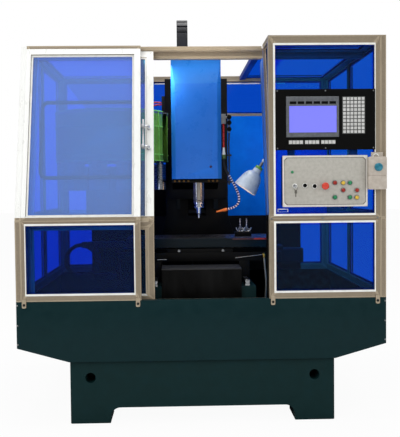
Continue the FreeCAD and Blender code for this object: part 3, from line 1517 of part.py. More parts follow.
def model():
    """Every node of the machine with its solids."""
    pieces = {
        "base_casting": base_casting(),
        "chip_tray": chip_tray(),
        "column": column(),
        "guide_rails": guide_rails(),
        "axis_motors": axis_motors(),
        "front_frames": left_bay_frame() + cabinet_frame(),
        "enclosure_frames": enclosure_frames(),
        "door_tracks": door_tracks(),
        "enclosure_panes": [pane(*field) for field in fixed_fields + [side_glass]] + [cabinet_glass()],
        "glazing_beads": [bead(*field) for field in fixed_fields + [cabinet_upper]],
        "electrical_cabinet": electrical_cabinet(),
        "rear_splash": rear_splash(),
        "control_housing": [control_housing(), screen_bezel()],
        "display": display(),
        "keypad": keypad(),
        "operation_panel": operation_panel(),
        "pendant_box": pendant_box(),
        "magazine_bracket": magazine_bracket(),
        "magazine_cover": magazine_cover(),
        "front_apron": [way_cover(), front_apron()],
        "lamp_arm": lamp_arm(),
        "column_hose": column_hose(),
        "door_frame": door_frame() + door_beads(),
        "door_panes": door_panes(),
        "door_gasket": door_gasket(),
        "door_handle": door_handle(),
        "saddle": saddle(),
        "x_motor": x_motor(),
        "drain_hose": joined([drain_fitting(), drain_hose()]),
        "table": table(),
        "clamp_set": clamp_set(),
        "table_chain": table_chain(),
        "head_casting": head_casting(),
        "head_cover": head_cover(),
        "spindle_motor": spindle_motor(),
        "coolant_block": coolant_block(),
        "head_hoses": coolant_hose() + head_hoses(),
        "head_chain": head_chain(),
        "spindle": spindle(),
        "tool_holder": tool_holder(),
        "x_screw": x_screw(),
        "y_screw": y_screw(),
        "z_screw": z_screw(),
        "carousel": carousel(),
        "magazine_tools": magazine_tools(),
        "emergency_stop": emergency_stop(),
        "key_switch": key_switch(),
        "pendant_dial": pendant_dial(),
        "lamp_shade": lamp_shade(),
        "lamp_bulb": lamp_bulb(),
    }
    for name, spot in selector_spots.items():
        pieces[name] = selector(*spot)
    for name, spot in push_buttons.items():
        pieces["button_" + name] = push_button(*spot)
    return pieces


def save(name, solids, shift):
    whole = Part.makeCompound(solids) if isinstance(solids, list) else solids
    whole = whole.copy()
    whole.translate(shift)
    whole.exportStep("parts/" + name + ".step")
    return whole.BoundBox


def main():
    os.makedirs("parts", exist_ok=True)
    machine_front = pendant_face - dial_tall - 8
    shift = vec(0, -(machine_front + cabinet_rear) / 2, 0)
    pieces = model()
    outline = FreeCAD.BoundBox()
    for name, solids in pieces.items():
        outline.add(save(name, solids, shift))
    print(len(pieces), "nodes", outline)


main()
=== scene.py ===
import json
import math
from types import SimpleNamespace

import bmesh
import bpy
from mathutils import Matrix, Vector


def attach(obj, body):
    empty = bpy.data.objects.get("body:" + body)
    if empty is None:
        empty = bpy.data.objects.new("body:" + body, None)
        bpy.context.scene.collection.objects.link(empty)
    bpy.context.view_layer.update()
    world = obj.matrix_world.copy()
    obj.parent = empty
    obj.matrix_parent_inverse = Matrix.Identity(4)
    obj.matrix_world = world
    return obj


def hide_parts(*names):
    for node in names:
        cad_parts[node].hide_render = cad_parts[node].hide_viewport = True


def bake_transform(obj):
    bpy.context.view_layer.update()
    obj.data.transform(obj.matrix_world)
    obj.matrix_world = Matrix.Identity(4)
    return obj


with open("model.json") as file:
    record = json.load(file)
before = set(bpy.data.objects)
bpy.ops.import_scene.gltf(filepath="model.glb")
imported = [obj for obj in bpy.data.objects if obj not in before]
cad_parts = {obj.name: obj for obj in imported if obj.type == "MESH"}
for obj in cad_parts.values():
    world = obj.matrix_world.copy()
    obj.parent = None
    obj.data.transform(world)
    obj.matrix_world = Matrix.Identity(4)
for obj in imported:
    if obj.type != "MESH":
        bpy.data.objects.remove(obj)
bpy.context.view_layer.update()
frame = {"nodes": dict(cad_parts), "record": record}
depthShift = -0.889  # where the chip tray's front plane stands in the frame, in metres


def place(x, y, z):  # from millimetres, with depths counted from the tray's front plane
    return Vector((x / 1000, y / 1000 + depthShift, z / 1000))


def measured(point):  # and back to those millimetres
    return Vector((point.x * 1000, (point.y - depthShift) * 1000, point.z * 1000))


def between(value, limits):
    return limits[0] < value < limits[1]


def linear(hexColour):  # from sRGB
    parts = [int(hexColour[i:i + 2], 16) / 255 for i in (0, 2, 4)]
    return tuple(c / 12.92 if c <= 0.04045 else ((c + 0.055) / 1.055) ** 2.4 for c in parts) + (1.0,)


def addNode(tree, kind, values=None, links=None, **settings):
    node = tree.nodes.new(kind)
    for key, value in settings.items():
        setattr(node, key, value)
    for key, value in (values or {}).items():
        node.inputs[key].default_value = value
    for key, socket in (links or {}).items():
        tree.links.new(socket, node.inputs[key])
    return node


def newMaterial(name):
    material = bpy.data.materials.new(name)
    material.use_nodes = True
    material.node_tree.nodes.clear()
    return material, material.node_tree


def finishMaterial(tree, shader):
    addNode(tree, "ShaderNodeOutputMaterial", links={"Surface": shader.outputs[0]})


noise = {"low": 0.3, "high": 0.7, "patch": 12}  # where most of its values lie, and a patch's width in grains


def patterned(name, colours, roughness, grain, metallic=0.0, bump=0.15, bumpDepth=0.2, stretch=(1, 1, 1),
              coat=0.0, roughSpread=0.12, specular=0.5, detail=4.0):
    material, tree = newMaterial(name)
    colours = [linear(colour) for colour in colours.split()]
    low, high = noise["low"], noise["high"]
    grainsPerMetre = 1000 / grain
    coords = addNode(tree, "ShaderNodeTexCoord")
    mapping = addNode(tree, "ShaderNodeMapping", {"Scale": stretch}, {"Vector": coords.outputs["Object"]})
    broad = addNode(tree, "ShaderNodeTexNoise", {"Scale": grainsPerMetre / noise["patch"], "Detail": detail,
                    "Roughness": 0.6}, {"Vector": mapping.outputs[0]})
    fine = addNode(tree, "ShaderNodeTexNoise", {"Scale": grainsPerMetre, "Detail": 2.0, "Roughness": 0.5},
                   {"Vector": mapping.outputs[0]})
    ramp = addNode(tree, "ShaderNodeValToRGB", links={"Fac": broad.outputs["Fac"]})
    stops = ramp.color_ramp.elements
    for stop, position, colour in zip(stops, (low, high), (colours[0], colours[-1])):
        stop.position = position
        stop.color = colour
    for i, colour in enumerate(colours[1:-1]):
        stops.new(low + (high - low) * (i + 1) / (len(colours) - 1)).color = colour
    rough = addNode(tree, "ShaderNodeMapRange", {"From Min": low, "From Max": high,
                    "To Min": max(roughness - roughSpread, 0.02), "To Max": min(roughness + roughSpread, 1)},
                    {"Value": broad.outputs["Fac"]})
    relief = addNode(tree, "ShaderNodeBump", {"Strength": bump, "Distance": bumpDepth / 1000},
                     {"Height": fine.outputs["Fac"]})
    shader = addNode(tree, "ShaderNodeBsdfPrincipled",
                     {"Metallic": metallic, "Coat Weight": coat, "Specular IOR Level": specular},
                     {"Base Color": ramp.outputs[0], "Roughness": rough.outputs[0],
                      "Normal": relief.outputs[0]})
    finishMaterial(tree, shader)
    return material


def clearSheet(name, tint, shine, film=0.0, filmColour="ffffff", shineTint=(1, 1, 1)):
    material, tree = newMaterial(name)
    perFace = [math.sqrt(c) for c in tint]  # a ray crosses both faces of the sheet
    clear = addNode(tree, "ShaderNodeBsdfTransparent", {"Color": (*perFace, 1.0)})
    gloss = addNode(tree, "ShaderNodeBsdfAnisotropic", {"Color": (*shineTint, 1.0), "Roughness": 0.02})
    mixed = addNode(tree, "ShaderNodeMixShader", {"Fac": shine}, {1: clear.outputs[0], 2: gloss.outputs[0]})
    if film:
        haze = addNode(tree, "ShaderNodeBsdfDiffuse", {"Color": linear(filmColour)})
        mixed = addNode(tree, "ShaderNodeMixShader", {"Fac": film}, {1: mixed.outputs[0], 2: haze.outputs[0]})
    finishMaterial(tree, mixed)
    return material


def lit(name, colour, glow, roughness):
    material, tree = newMaterial(name)
    shader = addNode(tree, "ShaderNodeBsdfPrincipled",
                     {"Base Color": linear(colour), "Roughness": roughness, "Emission Color": linear(colour),
                      "Emission Strength": glow})
    finishMaterial(tree, shader)
    return material


def profileMetal(name, stretch):
    return patterned(name, "a79982 ae9f88 b4a68f", 0.3, 0.35, metallic=0.3,
                     stretch=stretch, bump=0.02, roughSpread=0.05, detail=1.0)


# The grain is in millimetres. Brush lines, orange peel and mould texture are under 0.1 mm and would not show
# from here, so each grain is drawn coarser than the real one, at 0.35 to 7 mm.
finish = {
    # brushed thick over rough iron: deep green, gently wavy, hardly any shine
    "castingEnamel": patterned("enamel over cast iron", "0d2728 0f292a 112b2d", 0.45, 5, bump=0.12,
                               bumpDepth=0.4, specular=0.1),
    # the same green sprayed on folded sheet: flatter and more even
    "skirtEnamel": patterned("enamelled sheet steel", "0b2629 0d282b 0f2a2d", 0.4, 4, bump=0.04,
                             specular=0.1),
    # sprayed over castings: near black faces that only a faint sheen sets apart
    "blackEnamel": patterned("black machine enamel", "070707 090909 0c0b0b", 0.45, 4, bump=0.12,
                             specular=0.15),
    # matt over a grainy casting: dark grey without a glint
    "motorPaint": patterned("matt black paint on die casting", "0e0f10 141517 1a1b1d", 0.6, 3,
                            specular=0.3),
    # drawn, brushed and anodised: champagne metal with fine streaks along the bar
    "profile": profileMetal("anodised aluminium profile, upright", (1, 1, 0.03)),
    "profileAcross": profileMetal("anodised aluminium profile, across", (0.03, 1, 1)),
    "profileDeep": profileMetal("anodised aluminium profile, front to back", (1, 0.03, 1)),
    # sloped bars that face the light: almost white, their streaks washed out
    "profileBright": patterned("anodised aluminium in skylight", "f4f5f1 f8f9f6 fbfcf9", 0.35, 3,
                               metallic=0.1, stretch=(1, 1, 0.05), bump=0.02),
    # an anodised edge behind film: an even mid blue
    "jambBlue": patterned("anodised jamb behind blue film", "4469b6 4a70bc 5076c2", 0.4, 3,
                          stretch=(1, 1, 0.05), bump=0.02, specular=0.2),
    # the rolled channel lies in its own shade: a darker line down each bar
    "profileGroove": patterned("shaded channel of a profile", "8a7d6b 928571 998c79", 0.4, 0.6,
                               metallic=0.3, bump=0.02),
    # metal seen through the bay's sheet: flat pale violet blue
    "profileShaded": patterned("anodised aluminium seen through blue", "7f90e6 8798ea 8fa0ee", 0.4, 1,
                               bump=0.02),
    # a bar under the roof's acrylic: flat deep blue
    "roofBlue": patterned("profile under blue acrylic", "0b3592 0e3b9c 1141a6", 0.5, 2, bump=0.02),
    # surface ground: bright metal with tight lines across it
    "groundSteel": patterned("ground steel", "8f9295 a3a6a9 b9bcbe", 0.24, 1.5, metallic=1.0, bump=0.05,
                             stretch=(1, 1, 8)),
    # zinc over rolled steel: light grey metal with a cloudy shine
    "plateSteel": patterned("zinc-plated steel", "7f8182 949697 a6a7a6", 0.38, 3, metallic=0.9),
    # hardened and polished, with warm oil on it: brownish mirror streaks
    "spindleSteel": patterned("hardened spindle steel", "8c8680 9a948c a8a29a", 0.2, 1.5, metallic=0.85,
                              stretch=(1, 1, 6), bump=0.02),
    # polished and plated: sharp, nearly white reflections
    "chrome": patterned("chromed steel", "c6c9cc d8dadc e4e6e7", 0.1, 3, metallic=1.0, bump=0.02,
                        roughSpread=0.03),
    # cast, machined and oiled: dark blue-black with lines along the table
    "castIronDark": patterned("oiled cast iron", "09141a 0c181e 101d24", 0.4, 2, specular=0.2,
                              stretch=(0.3, 4, 4), bump=0.05),
    # ground bare on top: warm grey metal with long fine lines
    "tableTop": patterned("ground cast iron", "4a4644 5a5553 6b6562", 0.28, 1.5, metallic=0.8,
                          stretch=(0.2, 3, 3), bump=0.05),
    # turned and oiled: small brown-gold glints
    "brassBolt": patterned("oiled bronze bolt head", "5e4426 79572f 8f6a3c", 0.35, 1.5, metallic=0.8),
    # turned bright: yellow metal with a soft shine
    "brassFitting": patterned("brass fitting", "9c7e3e b39247 c6a556", 0.3, 1.5, metallic=0.9),
    # extruded: clean white lines, slightly waxy
    "bead": patterned("white PVC glazing bead", "e6e7e0 f2f3ee f8f9f5", 0.45, 4, bump=0.05),
    # sprayed on folded sheet: a clear mid blue with a soft gloss
    "coverBlue": patterned("blue enamel on folded sheet", "1f6dd0 2170d4 2473d7", 0.32, 6, bump=0.03,
                           specular=0.3),
    # painted highlight: the same blue, a shade paler on the faces that catch the light
    "hoodBlue": patterned("blue enamel with painted highlight", "2679d5 287bd8 2b7edb", 0.34, 6, bump=0.03,
                          specular=0.3),
    # satin spray on steel plate: strong even blue, no reflections
    "cabinetBlue": patterned("blue enamel on cabinet steel", "0464cf 0769d5 0b6fdb", 0.5, 6, bump=0.03,
                             specular=0.02),
    # baked powder: deep black with a dry fine grain
    "controlBlack": patterned("black powder coat", "050505 060606 080808", 0.55, 1.2, bump=0.2,
                              specular=0.1),
    # moulded with a fine texture: flat mid grey
    "bezelGrey": patterned("moulded grey ABS", "505359 5c5f64 666a70", 0.45, 1.5),
    # moulded and rubbed by fingers: pale grey with uneven shine
    "keyGrey": patterned("moulded key caps", "bcbcba c9c9c7 d4d4d2", 0.5, 1.5),
    # soft sheet under the keys: dull charcoal
    "keyBase": patterned("keypad membrane", "3a3b3a 444544 4e4f4d", 0.55, 1.2),
    # baked powder on steel: warm light grey, finely pebbled
    "panelGrey": patterned("grey powder-coated panel", "aaa79e b4b1a8 bbb8b0", 0.48, 1.5, bump=0.12),
    # the same where the plate bends towards the light: almost white
    "panelRim": patterned("powder coat on the bent rim", "d3d0c9 dad7d1 e0ddd7", 0.45, 1.5),
    # screen printed: a flat dark line
    "inkGrey": patterned("printed grey line", "57544c 605d55 69665e", 0.6, 1.5),
    # moulded: warm beige grey with a faint texture
    "pendantGrey": patterned("warm grey ABS", "b0a699 bab0a4 c4bbb0", 0.5, 2),
    # sprayed on a rolled drum: fresh green with a gloss that follows the curve
    "magazineGreen": patterned("green enamel on rolled sheet", "5f9534 689f3a 71a942", 0.36, 5, bump=0.03,
                               coat=0.1),
    # painted highlight: the rolled rims and the seams, where they catch the light, are drawn as a light green
    # line
    "rimGreen": patterned("rolled rim, green enamel with painted highlight", "74c455 86d766 97e478", 0.35, 1.5),
    # calendered sheet, oiled: black with long faint streaks down it
    "rubber": patterned("black neoprene sheet", "040404 080808 131313", 0.5, 7, bump=0.2, specular=0.08,
                        stretch=(1, 1, 0.15), detail=1.0),
    # a paler dry dark grey, on some of the rubber's faces
    "rubberPaler": patterned("paler neoprene", "131314 19191a 1f1f20", 0.6, 4, bump=0.1),
    # extruded foam rubber: dull violet grey, no shine
    "gasket": patterned("grey EPDM gasket", "4c4a5c 56536a 5f5c74", 0.7, 2),
    # hammer finish: pale blue-grey with a dimpled gloss
    "lampPaint": patterned("hammered grey enamel", "b0bfd2 bfcddd ccd8e5", 0.34, 2.5, bump=0.12, coat=0.3),
    # extruded with ribs: dull black that breaks up the light
    "hoseRubber": patterned("ribbed rubber hose", "101114 17181b 1f2023", 0.55, 2),
    # extruded nylon: milky warm grey
    "paleHose": patterned("nylon tube", "77756e 85837b 93918a", 0.4, 2),
    # moulded links: satin black
    "chainPlastic": patterned("black nylon chain", "101114 17181c 202126", 0.5, 2),
    # moulded and polished by hands: clear red with a soft highlight
    "stopRed": patterned("red moulded mushroom", "c63322 d23b28 db4733", 0.3, 2, coat=0.3),
    # moulded: blue-green with a soft highlight
    "dialTeal": patterned("teal moulded dial", "206d81 267a90 2f8aa0", 0.3, 2, coat=0.3),
    # moulded caps: deep glossy colours
    "buttonRed": patterned("red button cap", "7d2018 9c2a20 b03a2c", 0.28, 1.5, coat=0.4),
    "buttonYellow": patterned("yellow button cap", "c0992a d8b23a e6c552", 0.28, 1.5, coat=0.4),
    "buttonGreen": patterned("green button cap", "1d6b45 2a8556 3a9a69", 0.28, 1.5, coat=0.4),
    # moulded acetal is slippery and dense: smooth, slightly oily colour
    "hoseIndigo": patterned("indigo acetal link", "1b1746 241f5a 2d2870", 0.35, 1.5, coat=0.2),
    "hoseWhite": patterned("white acetal link", "c9c6d6 dedbe6 ecebf2", 0.35, 1.5),
    "nozzleOrange": patterned("orange acetal nozzle", "e0601a ee7426 f58b3c", 0.35, 1.5, coat=0.2),
    # drawn tube: wet-looking bright red
    "hoseRed": patterned("red polyurethane hose", "a81f1a c42b22 d63c2e", 0.3, 1.5, coat=0.3),
    # moulded: dull olive
    "capGreen": patterned("olive fitting cap", "3c4f25 4c6230 5b743a", 0.4, 1.5),
    # moulded: a dark spot with a small highlight
    "knobPlum": patterned("dark plum moulded knob", "3c1c3a 4a2446 5a2c54", 0.3, 1.5, coat=0.3),
    # brushed on thin: flat red, and a darker red towards the strip's left end
    "stripRed": patterned("red enamel strip", "8e1d1a a82622 bb3430", 0.35, 1.5),
    "stripDarkRed": patterned("dark red enamel", "3c1c1e 482224 54292b", 0.4, 1.5),
    # glass lit from behind: an even lilac glow
    "screenGlow": lit("backlit display", "787af6", 0.3, 0.25),
    # opal glass: milky white, faintly lit
    "bulb": lit("opal glass bulb", "f4f2ea", 0.1, 0.2),
    # cast sheet, dyed through: what lies behind turns blue, with a thin cool reflection
    "acrylicFront": clearSheet("blue acrylic, front", (0.02, 0.34, 0.94), 0.012, film=0.006,
                               filmColour="c0a0d0", shineTint=(0.4, 0.8, 1.0)),
    # painted reflection: the sloped sheet faces the sky, so it is tinted paler than the front sheet and given
    # a pale milky film
    "acrylicSlope": clearSheet("blue acrylic in skylight", (0.12, 0.66, 0.98), 0.02, film=0.2,
                               filmColour="c3caff", shineTint=(0.5, 0.75, 1.0)),
    # the rear and side sheets have no light behind them: deeper blues
    "acrylicRear": clearSheet("blue acrylic, rear", (0.002, 0.058, 0.50), 0.012),
    "acrylicHigh": clearSheet("blue acrylic over the cabinet", (0.07, 0.2, 0.55), 0.01),
    "acrylicLow": clearSheet("blue acrylic, low side panes", (0.1, 0.165, 0.53), 0.01),
    "acrylicLeft": clearSheet("blue acrylic, left side", (0.05, 0.1, 0.93), 0.01),
}
print("materials made:", len(finish))


def joinFlats(bm):  # loose triangles become whole flat faces
    bmesh.ops.dissolve_limit(bm, angle_limit=math.radians(0.5), verts=bm.verts, edges=bm.edges)


def nodeCopy(name):
    bm = bmesh.new()
    bm.from_mesh(frame["nodes"][name].data)
    bmesh.ops.remove_doubles(bm, verts=bm.verts, dist=1e-6)
    return bm


sharpAngle = math.radians(32)  # flatter edges aren't broken


def breakEdges(bm, width, segments=2):
    joinFlats(bm)
    limits = [(min(v.co[i] for v in bm.verts), max(v.co[i] for v in bm.verts)) for i in range(3)]
    sharp = [e for e in bm.edges if len(e.link_faces) == 2 and e.calc_face_angle(0) > sharpAngle]
    bmesh.ops.bevel(bm, geom=sharp, offset=width / 1000, offset_type="OFFSET", affect="EDGES",
                    segments=segments, profile=0.5, material=-1, clamp_overlap=True)
    for v in bm.verts:  # a bevel throws the odd corner of an acute edge outwards
        v.co = [min(max(v.co[i], limits[i][0]), limits[i][1]) for i in range(3)]


def cutPlane(bm, spot, way, **clear):
    bmesh.ops.bisect_plane(bm, geom=bm.verts[:] + bm.edges[:] + bm.faces[:], plane_co=spot, plane_no=way,
                           **clear)


def splitFaces(bm, levels, besides=()):
    for level in levels:
        cutPlane(bm, place(0, 0, level), (0, 0, 1))
    for across in besides:
        cutPlane(bm, place(across, 0, 0), (1, 0, 0))


def addPiece(name, bm, materials, body, replaced=(), smoothAngle=35):
    mesh = bpy.data.meshes.new(name)
    bm.to_mesh(mesh)
    bm.free()
    for material in materials:
        mesh.materials.append(finish[material])
    mesh.polygons.foreach_set("use_smooth", [True] * len(mesh.polygons))
    mesh.set_sharp_from_angle(angle=math.radians(smoothAngle))
    piece = bpy.data.objects.new(name, mesh)
    bpy.context.scene.collection.objects.link(piece)
    if body:
        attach(piece, body)
    if replaced:
        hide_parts(*replaced)
    return piece


bodyOf = {node: body for body, nodes in frame["record"]["behaviour"]["bodies"].items() for node in nodes}
nodesIn = {
    "castingEnamel": ["base_casting"], "skirtEnamel": ["chip_tray"], "cabinetBlue": ["electrical_cabinet"],
    "blackEnamel": ["column", "saddle", "head_casting", "rear_splash"],
    "motorPaint": ["axis_motors", "magazine_bracket", "x_motor", "spindle_motor"],
    "profile": ["front_frames", "enclosure_frames", "door_frame"], "profileAcross": ["door_tracks"],
    "acrylicFront": ["enclosure_panes", "door_panes"], "bead": ["glazing_beads"], "gasket": ["door_gasket"],
    "groundSteel": ["guide_rails", "clamp_set", "x_screw", "y_screw", "z_screw", "magazine_tools"],
    "plateSteel": ["coolant_block", "carousel"], "spindleSteel": ["spindle"], "castIronDark": ["table"],
    "chrome": ["door_handle", "tool_holder", "key_switch"], "coverBlue": ["head_cover"],
    "controlBlack": ["control_housing", "selector_left", "selector_right"], "screenGlow": ["display"],
    "keyGrey": ["keypad"], "panelGrey": ["operation_panel"], "pendantGrey": ["pendant_box"],
    "dialTeal": ["pendant_dial"], "stopRed": ["emergency_stop"], "magazineGreen": ["magazine_cover"],
    "lampPaint": ["lamp_arm", "lamp_shade"], "bulb": ["lamp_bulb"], "rubber": ["front_apron"],
    "hoseRubber": ["column_hose", "head_hoses"], "paleHose": ["drain_hose"],
    "chainPlastic": ["table_chain", "head_chain"],
    "buttonRed": ["button_start_red", "button_axis_red", "button_axis_dark_red"],
    "buttonYellow": ["button_start_yellow", "button_hold_yellow"],
    "buttonGreen": ["button_start_green", "button_cycle_green", "button_feed_green"],
}
finishOf = {node: name for name, nodes in nodesIn.items() for node in nodes}
for node, name in finishOf.items():
    data = frame["nodes"][node].data
    data.materials.clear()
    data.materials.append(finish[name])


def addDressed(node, bm, materials, name=None):
    addPiece(name or node + "Dressed", bm, materials, bodyOf[node], [node])


def dressNode(node, width, segments=2):
    bm = nodeCopy(node)
    breakEdges(bm, width, segments)
    addDressed(node, bm, [finishOf[node]])


def islands(bm):  # the faces of each solid in a node
    left = set(bm.faces)
    groups = []
    while left:
        stack = [left.pop()]
        group = []
        while stack:
            face = stack.pop()
            group.append(face)
            for edge in face.edges:
                for other in edge.link_faces:
                    if other in left:
                        left.remove(other)
                        stack.append(other)
        groups.append(group)
    return groups


def middleOf(faces):
    points = [v.co for f in faces for v in f.verts]
    low = Vector([min(p[i] for p in points) for i in range(3)])
    high = Vector([max(p[i] for p in points) for i in range(3)])
    return measured((low + high) / 2), (high - low) * 1000


def faceSpot(face):
    return measured(face.calc_center_median())


def dressSeveral(node, materials, width, choose, levels=(), besides=(), name=None):
    bm = nodeCopy(node)
    if width:
        breakEdges(bm, width)
    splitFaces(bm, levels, besides)
    for group in islands(bm):
        centre, size = middleOf(group)
        for face in group:  # choose sees the solid and the face, and says which of the materials it gets
            seen = SimpleNamespace(centre=centre, size=size, spot=faceSpot(face), normal=face.normal)
            face.material_index = int(choose(seen))
    addDressed(node, bm, materials, name)


def addBox(bm, low, high, material=0):
    a, b = place(*low), place(*high)
    made = bmesh.ops.create_cube(bm, size=1, matrix=Matrix.Translation((a + b) / 2)
                                 @ Matrix.Diagonal((*(b - a), 1)))
    for face in {f for v in made["verts"] for f in v.link_faces}:
        face.material_index = material
    return made["verts"]


def addRing(bm, across, up, widths, depths, lapped=True):  # a flat ring of four bars
    (x0, x1), (z0, z1) = across, up
    left, right, bottom, top = widths
    a, b = (x0, x1) if lapped else (x0 + left, x1 - right)
    for low, high in (((x0, z0), (x0 + left, z1)), ((x1 - right, z0), (x1, z1)),
                      ((a, z0), (b, z0 + bottom)), ((a, z1 - top), (b, z1))):
        addBox(bm, (low[0], depths[0], low[1]), (high[0], depths[1], high[1]))


forwards, upwards = (0, -1, 0), (0, 0, 1)


def addTurned(bm, start, way, profile, steps=32, material=0):  # profile: distance along the way, radius
    way = Vector(way).normalized()
    side = way.orthogonal().normalized()
    origin = place(*start)
    before = set(bm.faces)
    ring = [bm.verts.new(origin + way * a / 1000 + side * r / 1000) for a, r in profile]
    edges = [bm.edges.new(pair) for pair in zip(ring, ring[1:])]
    bmesh.ops.spin(bm, geom=ring + edges, cent=origin, axis=way, angle=math.tau, steps=steps, use_merge=True)
    verts = list({v for f in bm.faces if f not in before for v in f.verts})
    bmesh.ops.remove_doubles(bm, verts=verts, dist=2e-6)
    made = [f for f in bm.faces if f not in before]
    bmesh.ops.recalc_face_normals(bm, faces=made)
    for face in made:
        face.material_index = material


def addScrew(bm, start, radius, tall, material=0):  # a socket head that faces forwards
    socket, shoulder = radius * 0.45, radius * 0.8
    outline = [(0, 0), (0, radius), (tall * 0.6, radius), (tall, shoulder), (tall, socket),
               (tall * 0.4, socket), (tall * 0.4, 0)]
    addTurned(bm, start, forwards, outline, 12, material)


def smoothRoute(points):
    curve = bpy.data.curves.new("route", "CURVE")
    curve.dimensions = "3D"
    curve.resolution_u = 12
    spline = curve.splines.new("NURBS")
    spline.points.add(len(points) - 1)
    for point, spot in zip(spline.points, points):
        point.co = (*place(*spot), 1)
    spline.order_u = 3
    spline.use_endpoint_u = True
    holder = bpy.data.objects.new("route", curve)
    bpy.context.scene.collection.objects.link(holder)
    mesh = bpy.data.meshes.new_from_object(holder)
    line = [v.co.copy() for v in mesh.vertices]
    bpy.data.objects.remove(holder)
    bpy.data.meshes.remove(mesh)
    return line


def along(line, distance):
    left = distance
    for a, b in zip(line, line[1:]):
        run = (b - a).length
        if left <= run:
            return a.lerp(b, left / run), (b - a).normalized()
        left -= run
    return line[-1], (line[-1] - line[-2]).normalized()


def addTube(bm, line, radius, sides=12):
    before = set(bm.faces)
    side = (line[1] - line[0]).orthogonal().normalized()
    rings = []
    for i, spot in enumerate(line):
        way = (line[min(i + 1, len(line) - 1)] - line[max(i - 1, 0)]).normalized()
        side = (side - way * side.dot(way)).normalized()
        up = way.cross(side)
        rings.append([bm.verts.new(spot + (side * math.cos(t) + up * math.sin(t)) * radius / 1000)
                      for t in (math.tau * k / sides for k in range(sides))])
    loops = [[bm.edges.new((ring[k], ring[(k + 1) % sides])) for k in range(sides)] for ring in rings]
    for a, b in zip(loops, loops[1:]):
        bmesh.ops.bridge_loops(bm, edges=a + b)
    for ring in (rings[0], rings[-1]):
        bm.faces.new(ring)
    bmesh.ops.recalc_face_normals(bm, faces=[f for f in bm.faces if f not in before])


# a shallow channel is rolled along each bar's faces: its margin as a share of the face, its depth in
# millimetres, and the faces that get one, in metres
channel = {"edge": 0.3, "deep": 1.8, "width": (0.016, 0.075), "shortest": 0.15}
barFinish = ("profile", "profileAcross", "profileDeep", "profileBright", "profileGroove", "bead",
             "profileShaded", "roofBlue", "jambBlue", "controlBlack")
barNumber = {name: number for number, name in enumerate(barFinish)}
# the left bay's right edge, the level where the whole front bends back, and the slope's depth and top
bay = {"right": -260.0, "bend": 1182.0, "deep": 330.0, "cap": 2173.0}
jamb = {"across": (374.0, 383.4), "deep": 352.0}  # the right jamb's inner face
sloped = 0.3  # a face looks forwards where its normal leans this far


def cutChannels(bm):
    joinFlats(bm)
    found = []
    for face in bm.faces:
        longest = max(e.calc_length() for e in face.edges)
        width = face.calc_area() / longest
        if len(face.verts) == 4 and longest > channel["shortest"] and between(width, channel["width"]):
            found.append((face, width))
    for face, width in found:
        bmesh.ops.inset_individual(bm, faces=[face], thickness=width * channel["edge"],
                                   depth=-channel["deep"] / 1000, use_even_offset=False)
        face.material_index = barNumber["profileGroove"]


def runOf(face):
    longest = max(face.edges, key=lambda e: e.calc_length())
    way = longest.verts[0].co - longest.verts[1].co
    axis = max(range(3), key=lambda i: abs(way[i]))
    return barNumber[("profileAcross", "profileDeep", "profile")[axis]]


def dressBars(node, choose, levels, besides=(), name=None):  # choose names the faces that are no plain metal
    bm = nodeCopy(node)
    cutChannels(bm)
    breakEdges(bm, 1.0, 1)
    splitFaces(bm, levels, besides)
    for face in bm.faces:
        special = choose(faceSpot(face), face.normal)
        if special:
            face.material_index = barNumber[special]
        elif face.material_index != barNumber["profileGroove"]:
            face.material_index = runOf(face)
    addDressed(node, bm, barFinish, name)


def frontKind(spot, normal):
    if between(spot.x, jamb["across"]) and spot.y < jamb["deep"]:
        return "jambBlue" if spot.z > bay["bend"] else "controlBlack"
    if (spot.x < bay["right"] and spot.y < bay["deep"] and between(spot.z, (bay["bend"], bay["cap"]))
            and normal.y < -sloped):
        return "profileBright"


dressBars("front_frames", frontKind, (bay["bend"], bay["cap"]))
# white strips cover the bars' inner edges around three fields: across, up, reach to the left and right
coverStrips = {"fields": [((-991, -383), (751, 1136), (6, 6)), ((421, 984), (751, 1136), (11, 6)),
                          ((421, 984), (1188, 2137), (11, 6))], "wide": 11.0, "y": (-1.0, 0.4)}
wide = coverStrips["wide"]
bm = bmesh.new()
for (x0, x1), (z0, z1), (left, right) in coverStrips["fields"]:
    addRing(bm, (x0 - left, x1 + right), (z0 - wide, z1 + wide), (left, right, wide, wide),
            coverStrips["y"], lapped=False)
addPiece("coverStrips", bm, ["bead"], "machine")

# the white bead around the door's window: z gives its outer and inner edges from below
doorBead = {"clear": -350.0, "x": (-321.8, -310.3), "y": (52.0, 62.0), "z": (727.4, 738.6, 1102.0, 1113.2)}


def doorKind(spot, normal):
    low, lowInner, highInner, high = doorBead["z"]
    inside = (between(spot.x, (doorBead["clear"], doorBead["x"][1])) and between(spot.z, (low, high))
              and between(spot.y, doorBead["y"]))
    if inside and (spot.x > doorBead["x"][0] or not lowInner <= spot.z <= highInner):
        return "bead"
    if spot.z > bay["bend"]:
        if spot.x < doorBead["clear"]:  # bars behind the bay take its sheet's colour
            return "profileShaded"
        return "profileBright" if normal.y < -sloped else None


dressBars("door_frame", doorKind, [bay["bend"]], [doorBead["clear"]], "doorFrameDressed")
sideFront = {"outer": -1016.0, "deep": 420.0}  # the left side's sloped front post
roofBar = {"x": (335.0, 400.0), "y": (432.0, 1570.0), "low": 2130.0}


def sideKind(spot, normal):
    if between(spot.x, roofBar["x"]) and between(spot.y, roofBar["y"]) and spot.z > roofBar["low"]:
        return "roofBlue"
    front = spot.x < sideFront["outer"] and spot.y < sideFront["deep"] and normal.y < -sloped
    if front and spot.z > bay["bend"]:
        return "profileBright"


dressBars("enclosure_frames", sideKind, [bay["bend"]])

paneFinish = ("acrylicFront", "acrylicSlope", "acrylicRear", "acrylicHigh", "acrylicLow", "acrylicLeft")
glass = {"front": 60.0, "left": -500.0, "cabinet": 560.0, "jamb": (380.0, 420.0), "slopeDeep": 300.0,
         "lean": 0.1}


